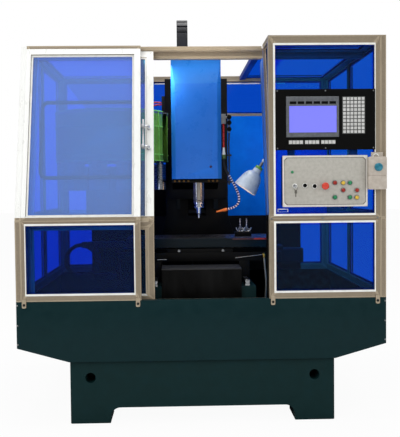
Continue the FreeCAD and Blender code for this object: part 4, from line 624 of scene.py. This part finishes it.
def paneKind(seen):
    spot, normal = seen.spot, seen.normal
    if spot.y < glass["front"] or (between(spot.x, glass["jamb"]) and spot.y < bay["deep"]):
        return "acrylicFront"
    leaning = abs(normal.y) > sloped and abs(normal.z) > glass["lean"]
    if leaning and spot.x < bay["right"] and spot.y < glass["slopeDeep"]:
        return "acrylicSlope"
    high = spot.z > bay["bend"]
    if spot.x < glass["left"]:
        return "acrylicLeft" if high else "acrylicLow"
    if spot.x > glass["cabinet"]:
        return "acrylicHigh" if high else "acrylicLow"
    return "acrylicRear"


dressSeveral("enclosure_panes", paneFinish, 0, lambda seen: paneFinish.index(paneKind(seen)), [bay["bend"]],
             [glass["cabinet"]], "enclosurePanesDressed")
dressSeveral("door_panes", ["acrylicFront", "acrylicSlope"], 0, lambda seen: seen.centre.z > bay["bend"])
frontBead = {"deep": 24.0, "half": 1016.0}  # the strips stand in for these beads, which take the pane's blue


def isFrontBead(seen):
    return (seen.spot.y < frontBead["deep"] and abs(seen.spot.x) < frontBead["half"]
            and (seen.spot.z < bay["bend"] or seen.spot.x > jamb["across"][0]))


dressSeveral("glazing_beads", ["bead", "acrylicFront"], 0.8, isFrontBead)
rearBead = {"x": (-300.0, 700.0), "y": (1584.0, 1591.0), "z": (2133.0, 2142.0)}
bm = bmesh.new()
addBox(bm, *zip(rearBead["x"], rearBead["y"], rearBead["z"]))
breakEdges(bm, 0.8)
addPiece("rearBead", bm, ["bead"], "machine")
for node, width in (("door_gasket", 1.5), ("door_handle", 0.8), ("door_tracks", 0.6)):
    dressNode(node, width)
print("enclosure dressed")

for node, width, segments in (("base_casting", 3.0, 3), ("chip_tray", 2.0, 2), ("column", 3.0, 2)):
    dressNode(node, width, segments)
cabinetRear = {"y": 1850.0, "rim": 14.0, "deep": 10.0}  # the rear door lies in a recess
bm = nodeCopy("electrical_cabinet")
joinFlats(bm)
rear = max((f for f in bm.faces if f.normal.y > 0.99 and abs(faceSpot(f).y - cabinetRear["y"]) < 1),
           key=lambda f: f.calc_area())
bmesh.ops.inset_individual(bm, faces=[rear], thickness=cabinetRear["rim"] / 1000,
                           depth=-cabinetRear["deep"] / 1000, use_even_offset=True)
breakEdges(bm, 1.5)
addDressed("electrical_cabinet", bm, ["cabinetBlue"])
dressNode("axis_motors", 1.5)
dressNode("rear_splash", 0.6)
uprightRails = 1000.0  # the column's rails lie above this level; painted shade: they get the dark iron finish, as they lie in the head's shade
dressSeveral("guide_rails", ["groundSteel", "castIronDark"], 0.6, lambda seen: seen.centre.z > uprightRails)
print("base, tray and column dressed")

nose = {"axis": (0.0, 560.0), "radius": 34.8}  # bare steel around the spindle
hood = {"level": 1986.0, "edge": 0.25}  # painted highlight: paler above this level and on the cover's slanted corners, which catch the light
valveFront = 480.0  # the valve knobs stand in front of this depth


def onNose(seen):
    return math.hypot(seen.spot.x - nose["axis"][0], seen.spot.y - nose["axis"][1]) < nose["radius"]


def onHood(seen):
    cut = seen.normal.y < -hood["edge"] and abs(seen.normal.x) > hood["edge"]
    return cut or seen.spot.z > hood["level"]


dressSeveral("head_casting", ["blackEnamel", "spindleSteel"], 1.5, onNose)
dressSeveral("head_cover", ["coverBlue", "hoodBlue"], 1.0, onHood)
dressSeveral("coolant_block", ["plateSteel", "controlBlack"], 0.8, lambda seen: seen.centre.y < valveFront)


def blendChain(name, bm, replaced):
    piece = addPiece(name, bm, ["chainPlastic"], None, replaced)
    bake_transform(piece)


# the head's chain, and where its rear and its front end lie
headChain = {"x": -92, "rear": 1044.0, "front": 880.0, "level": 2378}
bm = nodeCopy("head_chain")
breakEdges(bm, 0.8)
rear, front = (place(headChain["x"], headChain[end], headChain["level"]) for end in ("rear", "front"))
blendChain("head_chainDressed", bm, ["head_chain"])
# The table's chain is cut into three runs. A line is worked out for each, the bend's at 0.42 of the table's
# way and each straight run's between the bend and its own end; nothing moves the runs along them.
tableLoop = {"bend": -740.0, "y": 530.0, "low": 790.0, "middle": 890.0, "high": 990.0, "share": 0.42,
             "lowFrom": -500.0, "highLong": 560.0, "far": 1000000.0, "narrow": 0.8, "edge": 500.0}


def blendLine(x, z, way, long, share):
    middle, way = Vector((x, tableLoop["y"], z)), Vector(way)
    return place(*(middle - way * long * share)), place(*(middle + way * long * (1 - share)))


across, share = tableLoop["bend"], tableLoop["share"]
bendLine = blendLine(across, tableLoop["middle"], (0, 0, 1), tableLoop["far"], share)
lowLong = (tableLoop["lowFrom"] - across) / share
lowLine = blendLine(tableLoop["lowFrom"], tableLoop["low"], (-1, 0, 0), lowLong, 0)
highLine = blendLine(across, tableLoop["high"], (1, 0, 0), tableLoop["highLong"], share)
fixedEdge = Matrix.Translation(-place(0, tableLoop["edge"], 0))
for name, side, (start, end) in (("table_chainBend", 0, bendLine), ("table_chainLow", -1, lowLine),
                                 ("table_chainHigh", 1, highLine)):
    bm = nodeCopy("table_chain")
    breakEdges(bm, 0.8)
    # narrower, which leaves room for the screw that the upper run passes over
    bmesh.ops.scale(bm, vec=(1, tableLoop["narrow"], 1), space=fixedEdge, verts=bm.verts)
    cutPlane(bm, place(across, 0, 0), (1, 0, 0), clear_outer=side == 0, clear_inner=side != 0)
    away = [v for v in bm.verts if side * (v.co.z * 1000 - tableLoop["middle"]) < 0]
    bmesh.ops.delete(bm, geom=away, context="VERTS")
    bmesh.ops.holes_fill(bm, edges=[e for e in bm.edges if e.is_boundary], sides=0)
    replaced = [] if side else ["table_chain"]
    blendChain(name, bm, replaced)
dressNode("spindle_motor", 2.0)

magazineBand = 1803.0  # bare steel above this level
dressSeveral("magazine_cover", ["magazineGreen", "plateSteel"], 1.0, lambda seen: seen.spot.z > magazineBand,
             [magazineBand], name="magazineCoverDressed")
airHose = {"radius": 5.0, "routes": [
    ((-236, 1045, 1934), (-262, 1043, 1937), (-300, 1030, 1935), (-352, 960, 1893), (-372, 905, 1849)),
    ((-236, 1045, 1921), (-262, 1042, 1921), (-296, 1026, 1913), (-338, 965, 1880), (-352, 915, 1849))]}
bm = bmesh.new()
for route in airHose["routes"]:
    addTube(bm, smoothRoute(route), airHose["radius"])
addPiece("magazineAirHoses", bm, ["hoseRed"], "machine")
dressNode("magazine_bracket", 1.5)

coverKnob = {"spot": (74, 442, 1471), "outline": [(-3, 0), (-3, 6), (0, 6), (0, 8), (5, 6.4), (5, 0)]}
bm = bmesh.new()
addTurned(bm, coverKnob["spot"], forwards, coverKnob["outline"], 24)
addPiece("coverKnob", bm, ["knobPlum"], "head")
print("head dressed")

bezelUnder = 320.0  # the housing's black box is wider than this, its grey bezel isn't
dressSeveral("control_housing", ["controlBlack", "bezelGrey"], 1.0, lambda seen: seen.size.x < bezelUnder)
keyField = {"split": 1610.0, "upper": -5.9, "lower": -7.9}  # caps stand in front of these planes
dressSeveral("keypad", ["keyBase", "keyGrey"], 0.4,
             lambda seen: seen.spot.y < keyField["lower" if seen.spot.z < keyField["split"] else "upper"])
panelParts = {"plateOver": 100.0, "lampUnder": 18.0, "whiteAt": (584.0, 639.0, 527.0), "near": 6.0,
              "whiteOver": 1330.0}


def panelKind(seen):
    if seen.size.x > panelParts["plateOver"]:
        return 0
    if seen.size.x < panelParts["lampUnder"]:
        return 2
    white = any(abs(seen.centre.x - x) < panelParts["near"] for x in panelParts["whiteAt"])
    return 3 if white and seen.centre.z > panelParts["whiteOver"] else 1


dressSeveral("operation_panel", ["panelGrey", "plateSteel", "buttonGreen", "bead"], 0.5, panelKind)
# where the faces of the pendant's white bail lie
bail = {"x": 986.0, "half": 21.0, "low": 1507.0, "y": (-22.0, -13.6)}


def onBail(seen):
    return (abs(seen.spot.x - bail["x"]) < bail["half"] and seen.spot.z > bail["low"]
            and between(seen.spot.y, bail["y"]))


dressSeveral("pendant_box", ["pendantGrey", "bead"], 1.0, onBail)
hangingKey = 1331.0  # what lies below this level hangs from the key in the switch
dressSeveral("key_switch", ["chrome", "inkGrey"], 0.4, lambda seen: seen.spot.z < hangingKey)
for node in ("emergency_stop", "selector_left", "selector_right", "pendant_dial"):
    dressNode(node, 0.5)
print("controls dressed")

# each outline is a list of distances along the lamp's axis and radii
lampFit = {"joint": (388.0, 300.0, 1500.0), "way": (-0.565, 0.0, -0.825), "steps": 56,
           "outer": [(60, 0), (60, 24), (84, 27), (98, 44), (112, 53), (128, 59), (168, 67), (203, 73.2),
                     (205, 74)],
           "inner": [(204, 72.5), (168, 64.5), (128, 56), (112, 50), (99, 42), (86, 25), (66, 20), (66, 0)],
           "neck": [(12.8, 0), (12.8, 9), (40, 9), (42, 16), (60, 16), (60, 0)],
           "ring": [(44, 16.2), (44, 21), (47, 23), (57, 23), (60, 21), (60, 16.2), (44, 16.2)]}
bm = bmesh.new()
addTurned(bm, lampFit["joint"], lampFit["way"], lampFit["outer"] + lampFit["inner"], lampFit["steps"])
addTurned(bm, lampFit["joint"], lampFit["way"], lampFit["neck"], 24, 1)
addPiece("lampShadeSpun", bm, ["lampPaint", "plateSteel"], "lamp", ["lamp_shade"])
bm = bmesh.new()
addTurned(bm, lampFit["joint"], lampFit["way"], lampFit["ring"])
addPiece("lampRing", bm, ["magazineGreen"], "lamp")
print("lamp made")

# a plain hose, then dark sockets with a white ball link in each
jointedHose = {"points": [(158, 495, 1522), (158, 495, 1490), (165, 492, 1462), (177, 488, 1438),
                          (191, 483, 1414), (204, 478, 1391), (216, 471, 1368), (228, 463, 1344),
                          (238, 456, 1318), (247, 451, 1290), (249, 447, 1262), (240, 445, 1238),
                          (221, 445, 1221), (197, 446, 1212), (172, 450, 1206)],
               "plain": 0.105, "plainParts": 12, "plainRadius": 7.2, "pitch": 16.0,
               "socket": [(-1, 0), (-1, 4.8), (1, 7.6), (4, 8), (8, 6.4), (10, 4.4)],
               "ball": [(8, 4), (10, 6.88), (12.5, 7.36), (15, 6.88), (17, 4), (17, 0)]}
line = smoothRoute(jointedHose["points"])
total = sum((b - a).length for a, b in zip(line, line[1:]))
parts, distance, count = jointedHose["plainParts"], jointedHose["plain"], 0
bm = bmesh.new()
addTube(bm, [along(line, distance * i / parts)[0] for i in range(parts + 1)], jointedHose["plainRadius"], 16)
while distance + jointedHose["pitch"] / 1000 < total:
    spot, way = along(line, distance)
    addTurned(bm, measured(spot), way, jointedHose["socket"], 14, 1)
    addTurned(bm, measured(spot), way, jointedHose["ball"], 14, 2)
    distance += jointedHose["pitch"] / 1000
    count += 1
addPiece("jointedHose", bm, ["hoseRubber", "hoseIndigo", "hoseWhite"], "head", ["head_hoses"],
         smoothAngle=40)

nozzle = {"start": (174, 450, 1206.4), "end": (104, 462, 1190), "outline": [
    (0, 0), (0, 8.5), (3, 9.5), (22, 9.5), (26, 8.2), (60, 5.2), (69, 4.6), (69, 3.2), (58, 3.2), (58, 0)]}
bm = bmesh.new()
addTurned(bm, nozzle["start"], Vector(nozzle["end"]) - Vector(nozzle["start"]), nozzle["outline"], 28)
addPiece("coolantNozzle", bm, ["nozzleOrange"], "head")

# red hose, white sleeve and olive cap, from their lower ends up
supply = {"axis": (158, 495), "parts": [
    (1590, [(0, 0), (0, 6), (152, 6), (152, 0)], 20),
    (1545, [(0, 0), (0, 11), (8, 11.8), (12, 11), (40, 7), (47, 7), (47, 0)], 24),
    (1520, [(0, 0), (0, 11), (3, 13.5), (20, 14), (25, 12), (27, 12), (27, 0)], 12)]}
bm = bmesh.new()
for number, (low, outline, steps) in enumerate(supply["parts"]):
    addTurned(bm, (*supply["axis"], low), upwards, outline, steps, number)
addPiece("supplyHose", bm, ["hoseRed", "bead", "capGreen"], "head")
print("hoses made:", count, "links")

magazineFit = {"centre": (-550.0, 640.0), "radius": 359.0, "levels": (1551.5, 1723.5, 1819.0, 1514.0),
               "rim": [(0, -2), (0, 0.5), (2, 1.5), (4, 1.5), (6, 0.5), (6, -2), (0, -2)]}
notch = {"x": -305.0, "y": (498.0, 622.0)}  # the rims stop at the cover's opening
bm = bmesh.new()
for level in magazineFit["levels"]:
    addTurned(bm, (*magazineFit["centre"], level - 3), upwards,
              [(up, magazineFit["radius"] + out) for up, out in magazineFit["rim"]], 96)
for y, way in zip(notch["y"], (-1, 1)):
    cutPlane(bm, place(0, y, 0), (0, way, 0))
gone = [f for f in bm.faces if faceSpot(f).x > notch["x"] and between(faceSpot(f).y, notch["y"])]
bmesh.ops.delete(bm, geom=gone, context="FACES")
addPiece("magazineRims", bm, ["rimGreen"], "machine")
print("magazine rims made")

plateScrews = {"y": -6.0, "across": (432, 704, 976), "levels": (1880, 1558), "radius": 4.2, "tall": 2.4}
bm = bmesh.new()
for z in plateScrews["levels"]:
    for x in plateScrews["across"]:
        addScrew(bm, (x, plateScrews["y"], z), plateScrews["radius"], plateScrews["tall"])
addPiece("controlScrews", bm, ["plateSteel"], "machine")

labelBand = {"x": (498.5, 765.5), "y": (-12.3, -6.2), "z": (1800.5, 1826.5), "count": 6, "from": 502.0,
             "step": 268 / 6, "wide": 110 / 3, "labelY": (-13.1, -12.2), "labelZ": (1805.5, 1820.5)}
bm = bmesh.new()
addBox(bm, *zip(labelBand["x"], labelBand["y"], labelBand["z"]))
for i in range(labelBand["count"]):
    x = labelBand["from"] + i * labelBand["step"]
    addBox(bm, *zip((x, x + labelBand["wide"]), labelBand["labelY"], labelBand["labelZ"]), material=1)
breakEdges(bm, 0.3)
addPiece("screenLabelBand", bm, ["bezelGrey", "controlBlack"], "machine")

# the line's inner edge, its width and cut corners, and the bright rim around it
panelBorder = {"x": (472, 927), "z": (1241, 1503), "y": -12.0, "wide": 3.2, "corner": 14.0, "tall": 0.4,
               "rim": 12.0, "bend": 5.0, "lap": 0.1}


def cornered(grow, cut):
    (x0, x1), (z0, z1) = panelBorder["x"], panelBorder["z"]
    x0, x1, z0, z1 = x0 - grow, x1 + grow, z0 - grow, z1 + grow
    return [(x0 + cut, z0), (x1 - cut, z0), (x1, z0 + cut), (x1, z1 - cut), (x1 - cut, z1), (x0 + cut, z1),
            (x0, z1 - cut), (x0, z0 + cut)]


def addBand(bm, y, outer, inner, material):
    loops = [[bm.verts.new(place(x, y, z)) for x, z in points] for points in (outer, inner)]
    for i in range(len(outer)):
        k = (i + 1) % len(outer)
        face = bm.faces.new((loops[0][i], loops[0][k], loops[1][k], loops[1][i]))
        face.material_index = material
        face.normal_update()
        if face.normal.y > 0:
            face.normal_flip()


bm = bmesh.new()
corner, wide, lift = panelBorder["corner"], panelBorder["wide"], panelBorder["tall"]
addBand(bm, panelBorder["y"] - lift, cornered(wide, corner), cornered(0, corner), 0)
addBand(bm, panelBorder["y"] - lift / 2, cornered(panelBorder["rim"], panelBorder["bend"]),
        cornered(wide - panelBorder["lap"], corner), 1)
addPiece("panelBorder", bm, ["inkGrey", "panelRim"], "machine")

labelHolder = {"x": (433, 493), "z": (1198, 1217), "widths": (4, 4, 2, 4), "y": (15.5, 17.5)}
bm = bmesh.new()
addRing(bm, labelHolder["x"], labelHolder["z"], labelHolder["widths"], labelHolder["y"])
breakEdges(bm, 0.5)
addPiece("labelHolder", bm, ["bead"], "machine")
print("control details made")

tableFace = {"level": 1030.0, "upward": 0.9}
dressSeveral("table", ["castIronDark", "tableTop"], 1.0,
             lambda seen: seen.normal.z > tableFace["upward"] and seen.spot.z > tableFace["level"])
clampBlock = 60.0  # the black block is longer than this, the steel clamps aren't
dressSeveral("clamp_set", ["groundSteel", "blackEnamel"], 0.8, lambda seen: seen.size.x > clampBlock)
# the paler rubber faces under the saddle, and bolts smaller than the last value
underSaddle = {"y": (543.0, 547.0), "z": (850.0, 895.0), "half": 232.0, "boltUnder": 20.0}


def saddleKind(seen):
    if max(seen.size) < underSaddle["boltUnder"]:
        return 1
    under = between(seen.spot.y, underSaddle["y"]) and between(seen.spot.z, underSaddle["z"])
    return 2 if under and abs(seen.spot.x) < underSaddle["half"] else 0


dressSeveral("saddle", ["blackEnamel", "groundSteel", "rubberPaler"], 1.5, saddleKind)
dressNode("x_motor", 1.5)
apronTop = 866.5  # paler above this level
dressSeveral("front_apron", ["rubber", "rubberPaler"], 1.0, lambda seen: seen.spot.z > apronTop)
fitting = {"low": 906.0, "rear": 323.0}  # the brass piece at the pipe's upper end
dressSeveral("drain_hose", ["paleHose", "brassFitting"], 0.3,
             lambda seen: seen.spot.z > fitting["low"] and seen.spot.y > fitting["rear"])
oilPipes = {"routes": [((216, 347.5, 911), (300, 347.5, 920), (379, 347.5, 929)),
                       ((-262, 347.5, 905), (-235, 347.5, 905), (-205, 347.5, 905))], "radius": 2.5}
bm = bmesh.new()
for route in oilPipes["routes"]:
    addTube(bm, smoothRoute(route), oilPipes["radius"], 10)
addPiece("saddleOilPipes", bm, ["plateSteel"], "saddle")
dressNode("spindle", 0.6)
dressNode("tool_holder", 0.5)
# the strip along the table's front edge: dark, dark red and red lengths
tableStrip = {"x": (-60, 200, 330, 449.5), "y": (359.2, 361.5), "z": (1021, 1031)}
bm = bmesh.new()
for i in range(3):
    addBox(bm, *zip(tableStrip["x"][i:i + 2], tableStrip["y"], tableStrip["z"]), material=i)
breakEdges(bm, 0.3)
addPiece("tableScale", bm, ["castIronDark", "stripDarkRed", "stripRed"], "table")
print("table dressed")

# screws: their places across and up with the face they sit on, radius, height, material
fittings = {"sunk": 0.4, "screws": [
    ([(397, 1162, 0), (687, 1162, 0), (1000, 1162, 0)], 5.5, 2.6, 0),
    ([(x, 690.0, -5.0) for x in (-1004, -364, 402, 1001)], 7.5, 4.0, 2),
    ([(side * 1044, z, 0) for side in (-1, 1) for z in (687, 573, 465)], 5.0, 3.0, 0)],
    "latches": [(-364, 1160, 0), (-290, 1160, 48)],
    "latch": [(0, 0), (0, 10), (3, 10), (5, 8), (5, 4), (8, 4), (8, 0)]}
bm = bmesh.new()
for spots, radius, tall, material in fittings["screws"]:
    for x, z, y in spots:
        addScrew(bm, (x, y + fittings["sunk"], z), radius, tall, material)
for x, z, y in fittings["latches"]:
    addTurned(bm, (x, y + fittings["sunk"], z), forwards, fittings["latch"], 20, 1)
addPiece("frameScrews", bm, ["plateSteel", "profile", "motorPaint"], "machine")

headBolts = {"across": (-150, -122, -94, -66, 62, 88, 114), "level": 1384.0, "face": 470.5,
             "outline": [(0, 0), (0, 7), (5, 7), (6, 6), (6, 3.6), (3, 3.6), (3, 0)]}
bm = bmesh.new()
for x in headBolts["across"]:
    addTurned(bm, (x, headBolts["face"], headBolts["level"]), forwards, headBolts["outline"], 18)
addPiece("headBolts", bm, ["brassBolt"], "head")

seams = {"angles": (-32.0, -40.0), "levels": (1513.0, 1820.0), "half": (2, 2.5)}
bm = bmesh.new()
for degrees in seams["angles"]:
    angle = math.radians(degrees)
    out = Vector((math.cos(angle), math.sin(angle), 0))
    spot = Vector((*magazineFit["centre"], 0)) + out * magazineFit["radius"]
    low, high = ((spot.x + side * seams["half"][0], spot.y + side * seams["half"][1], level)
                 for side, level in zip((-1, 1), seams["levels"]))
    bmesh.ops.rotate(bm, verts=addBox(bm, low, high), cent=place(spot.x, spot.y, 0),
                     matrix=Matrix.Rotation(angle, 3, "Z"))
breakEdges(bm, 0.6)
addPiece("magazineSeams", bm, ["rimGreen"], "machine")

hooks = {"studs": (263, 304), "y": 544, "base": 1062.0, "from": 7, "reach": 19, "rise": 26, "radius": 4.5,
         "turns": [math.radians(8 * k) for k in range(12)]}
bm = bmesh.new()
for x in hooks["studs"]:
    for side in (-1, 1):
        addTube(bm, [place(x + side * (hooks["from"] + hooks["reach"] * math.sin(turn)), hooks["y"],
                           hooks["base"] + hooks["rise"] * (1 - math.cos(turn))) for turn in hooks["turns"]],
                hooks["radius"])
addPiece("clampHooks", bm, ["chrome"], "table")

# the rear door's dark gap, hinges, locks and louvres
rearDoor = {"x": (300, 960), "y": 1840.0, "z": (1150, 1870), "gap": 3, "locks": (930, (1350, 1670)),
            "lock": [(0, 0), (0, 14), (4, 14), (6, 12), (6, 5), (9, 5), (9, 0)],
            "hinges": (294, (1205, 1745)), "hinge": [(0, 0), (0, 7), (70, 7), (70, 0)],
            "louvreX": (500, 760), "louvreZ": range(1220, 1350, 16), "louvre": 7}
y = rearDoor["y"]
bm = bmesh.new()
addRing(bm, rearDoor["x"], rearDoor["z"], [rearDoor["gap"]] * 4, (y - 1, y + 0.6))
x, levels = rearDoor["hinges"]
for z in levels:
    addTurned(bm, (x, y - 1, z), upwards, rearDoor["hinge"], 16, 1)
x, levels = rearDoor["locks"]
for z in levels:
    addTurned(bm, (x, y - 0.5, z), (0, 1, 0), rearDoor["lock"], 24, 1)
for z in rearDoor["louvreZ"]:
    addBox(bm, *zip(rearDoor["louvreX"], (y - 1, y + 4), (z, z + rearDoor["louvre"])), material=2)
breakEdges(bm, 0.5)
addPiece("cabinetDoor", bm, ["controlBlack", "plateSteel", "cabinetBlue"], "machine")
print("fittings made")

studio = {"floorSize": 40, "floor": "f6f6f6", "floorSeen": 0.95, "ambient": 0.5, "seen": 1.0, "horizon": 0.12,
          "zenith": 1.1, "keyPower": 90, "fillPower": 45, "topPower": 120, "insidePower": 2.5, "box": 3.0}
floorMaterial, floorTree = newMaterial("pale studio floor")  # matt paper: the camera sees it nearly white
floorShader = addNode(floorTree, "ShaderNodeBsdfPrincipled", {"Base Color": linear(studio["floor"]),
                      "Roughness": 0.9, "Specular IOR Level": 0.1})
floorGlow = addNode(floorTree, "ShaderNodeEmission", {"Color": (1, 1, 1, 1), "Strength": 1.0})
floorPath = addNode(floorTree, "ShaderNodeLightPath")
floorSeen = addNode(floorTree, "ShaderNodeMath", {1: studio["floorSeen"]},
                    {0: floorPath.outputs["Is Camera Ray"]}, operation="MULTIPLY")
floorMix = addNode(floorTree, "ShaderNodeMixShader", links={"Fac": floorSeen.outputs[0],
                   1: floorShader.outputs[0], 2: floorGlow.outputs[0]})
finishMaterial(floorTree, floorMix)
bm = bmesh.new()
bmesh.ops.create_grid(bm, x_segments=1, y_segments=1, size=studio["floorSize"])
floorData = bpy.data.meshes.new("studioFloor")
bm.to_mesh(floorData)
bm.free()
floorData.materials.append(floorMaterial)
floor = bpy.data.objects.new("studioFloor", floorData)
bpy.context.scene.collection.objects.link(floor)

# plain light on every surface, while reflections see a dark horizon and a bright zenith
world = bpy.data.worlds.new("soft studio")
bpy.context.scene.world = world
world.use_nodes = True
worldTree = world.node_tree
worldTree.nodes.clear()
path = addNode(worldTree, "ShaderNodeLightPath")
direction = addNode(worldTree, "ShaderNodeTexCoord")
parts = addNode(worldTree, "ShaderNodeSeparateXYZ", links={"Vector": direction.outputs["Generated"]})
reflected = addNode(worldTree, "ShaderNodeMapRange", {"From Min": 0.0, "From Max": 0.75,
                    "To Min": studio["horizon"], "To Max": studio["zenith"]}, {"Value": parts.outputs["Z"]})
plain = addNode(worldTree, "ShaderNodeMapRange", {"To Min": studio["ambient"], "To Max": studio["seen"]},
                {"Value": path.outputs["Is Camera Ray"]})
level = addNode(worldTree, "ShaderNodeMix", links={"Factor": path.outputs["Is Glossy Ray"],
                "A": plain.outputs[0], "B": reflected.outputs[0]})
sky = addNode(worldTree, "ShaderNodeBackground", {"Color": (1, 1, 1, 1)}, {"Strength": level.outputs[0]})
addNode(worldTree, "ShaderNodeOutputWorld", links={"Surface": sky.outputs[0]})

box, inside, noseSpot = studio["box"], studio["insidePower"], place(0, 560, 1285)
white, warm, amber, cool = (1, 1, 1), (1.0, 0.93, 0.84), (1.0, 0.6, 0.28), (0.7, 0.78, 1.0)
lamps = [  # spot, target, width, height, power, colour, and whether reflections see it
    ("keySoftbox", (-2.6, -5.4, 3.6), (0, 0, 1.3), box, box, studio["keyPower"], white, False),
    ("fillSoftbox", (3.4, -5.0, 2.2), (0, 0, 1.2), box, box, studio["fillPower"], white, False),
    ("topSoftbox", (0, 0, 5.0), (0, 0, 0), box, box, studio["topPower"], white, True),
    ("insideSoftboxRight", place(430, 640, 1740), place(430, 1575, 1330), 0.5, 0.5, inside * 2, white, False),
    ("insideSoftboxLeft", (-0.3, -0.45, 2.08), (-0.33, 0.6, 1.2), 0.25, 0.25, inside, white, False),
    ("headerStrip", place(40, 215, 2085), place(40, 390, 2160), 0.62, 0.05, 0.55, warm, False),
    ("spindleStripRight", place(318, 312, 1285), noseSpot, 0.03, 0.18, 0.16, amber, True),
    ("spindleStripLeft", place(-318, 312, 1285), noseSpot, 0.07, 0.18, 0.16, cool, True)]
for name, spot, target, wide, tall, power, colour, mirrored in lamps:
    data = bpy.data.lights.new(name, "AREA")
    data.shape = "RECTANGLE"
    data.size, data.size_y, data.energy, data.color = wide, tall, power, colour
    lamp = bpy.data.objects.new(name, data)
    bpy.context.scene.collection.objects.link(lamp)
    lamp.location = spot
    lamp.rotation_euler = (Vector(target) - Vector(spot)).to_track_quat("-Z", "Y").to_euler()
    lamp.visible_camera, lamp.visible_glossy = False, mirrored

# millimetres and radians, fitted to the photograph's perspective
cameraFit = {"spot": (-132.68, -4349.86, 1338.24), "yaw": 0.028468, "pitch": -0.03913, "roll": -0.010,
             "focalPixels": 771.68, "height": 437, "sensor": 36.0}
yaw, pitch, roll = cameraFit["yaw"], cameraFit["pitch"], cameraFit["roll"]
forward = Vector((math.sin(yaw) * math.cos(pitch), math.cos(yaw) * math.cos(pitch), math.sin(pitch)))
level = Vector((math.cos(yaw), -math.sin(yaw), 0))
upward = level.cross(forward)
rightHand = level * math.cos(roll) + upward * math.sin(roll)
upHand = upward * math.cos(roll) - level * math.sin(roll)
cameraData = bpy.data.cameras.new("photoCamera")
cameraData.sensor_width = cameraFit["sensor"]
cameraData.lens = cameraFit["focalPixels"] / cameraFit["height"] * cameraFit["sensor"]
camera = bpy.data.objects.new("photoCamera", cameraData)
bpy.context.scene.collection.objects.link(camera)
camera.matrix_world = Matrix.Translation(place(*cameraFit["spot"])) @ Matrix(
    (rightHand, upHand, -forward)).transposed().to_4x4()
bpy.context.scene.camera = camera
bpy.context.scene.view_settings.view_transform = "Standard"
print("camera placed, lens", round(cameraData.lens, 2))
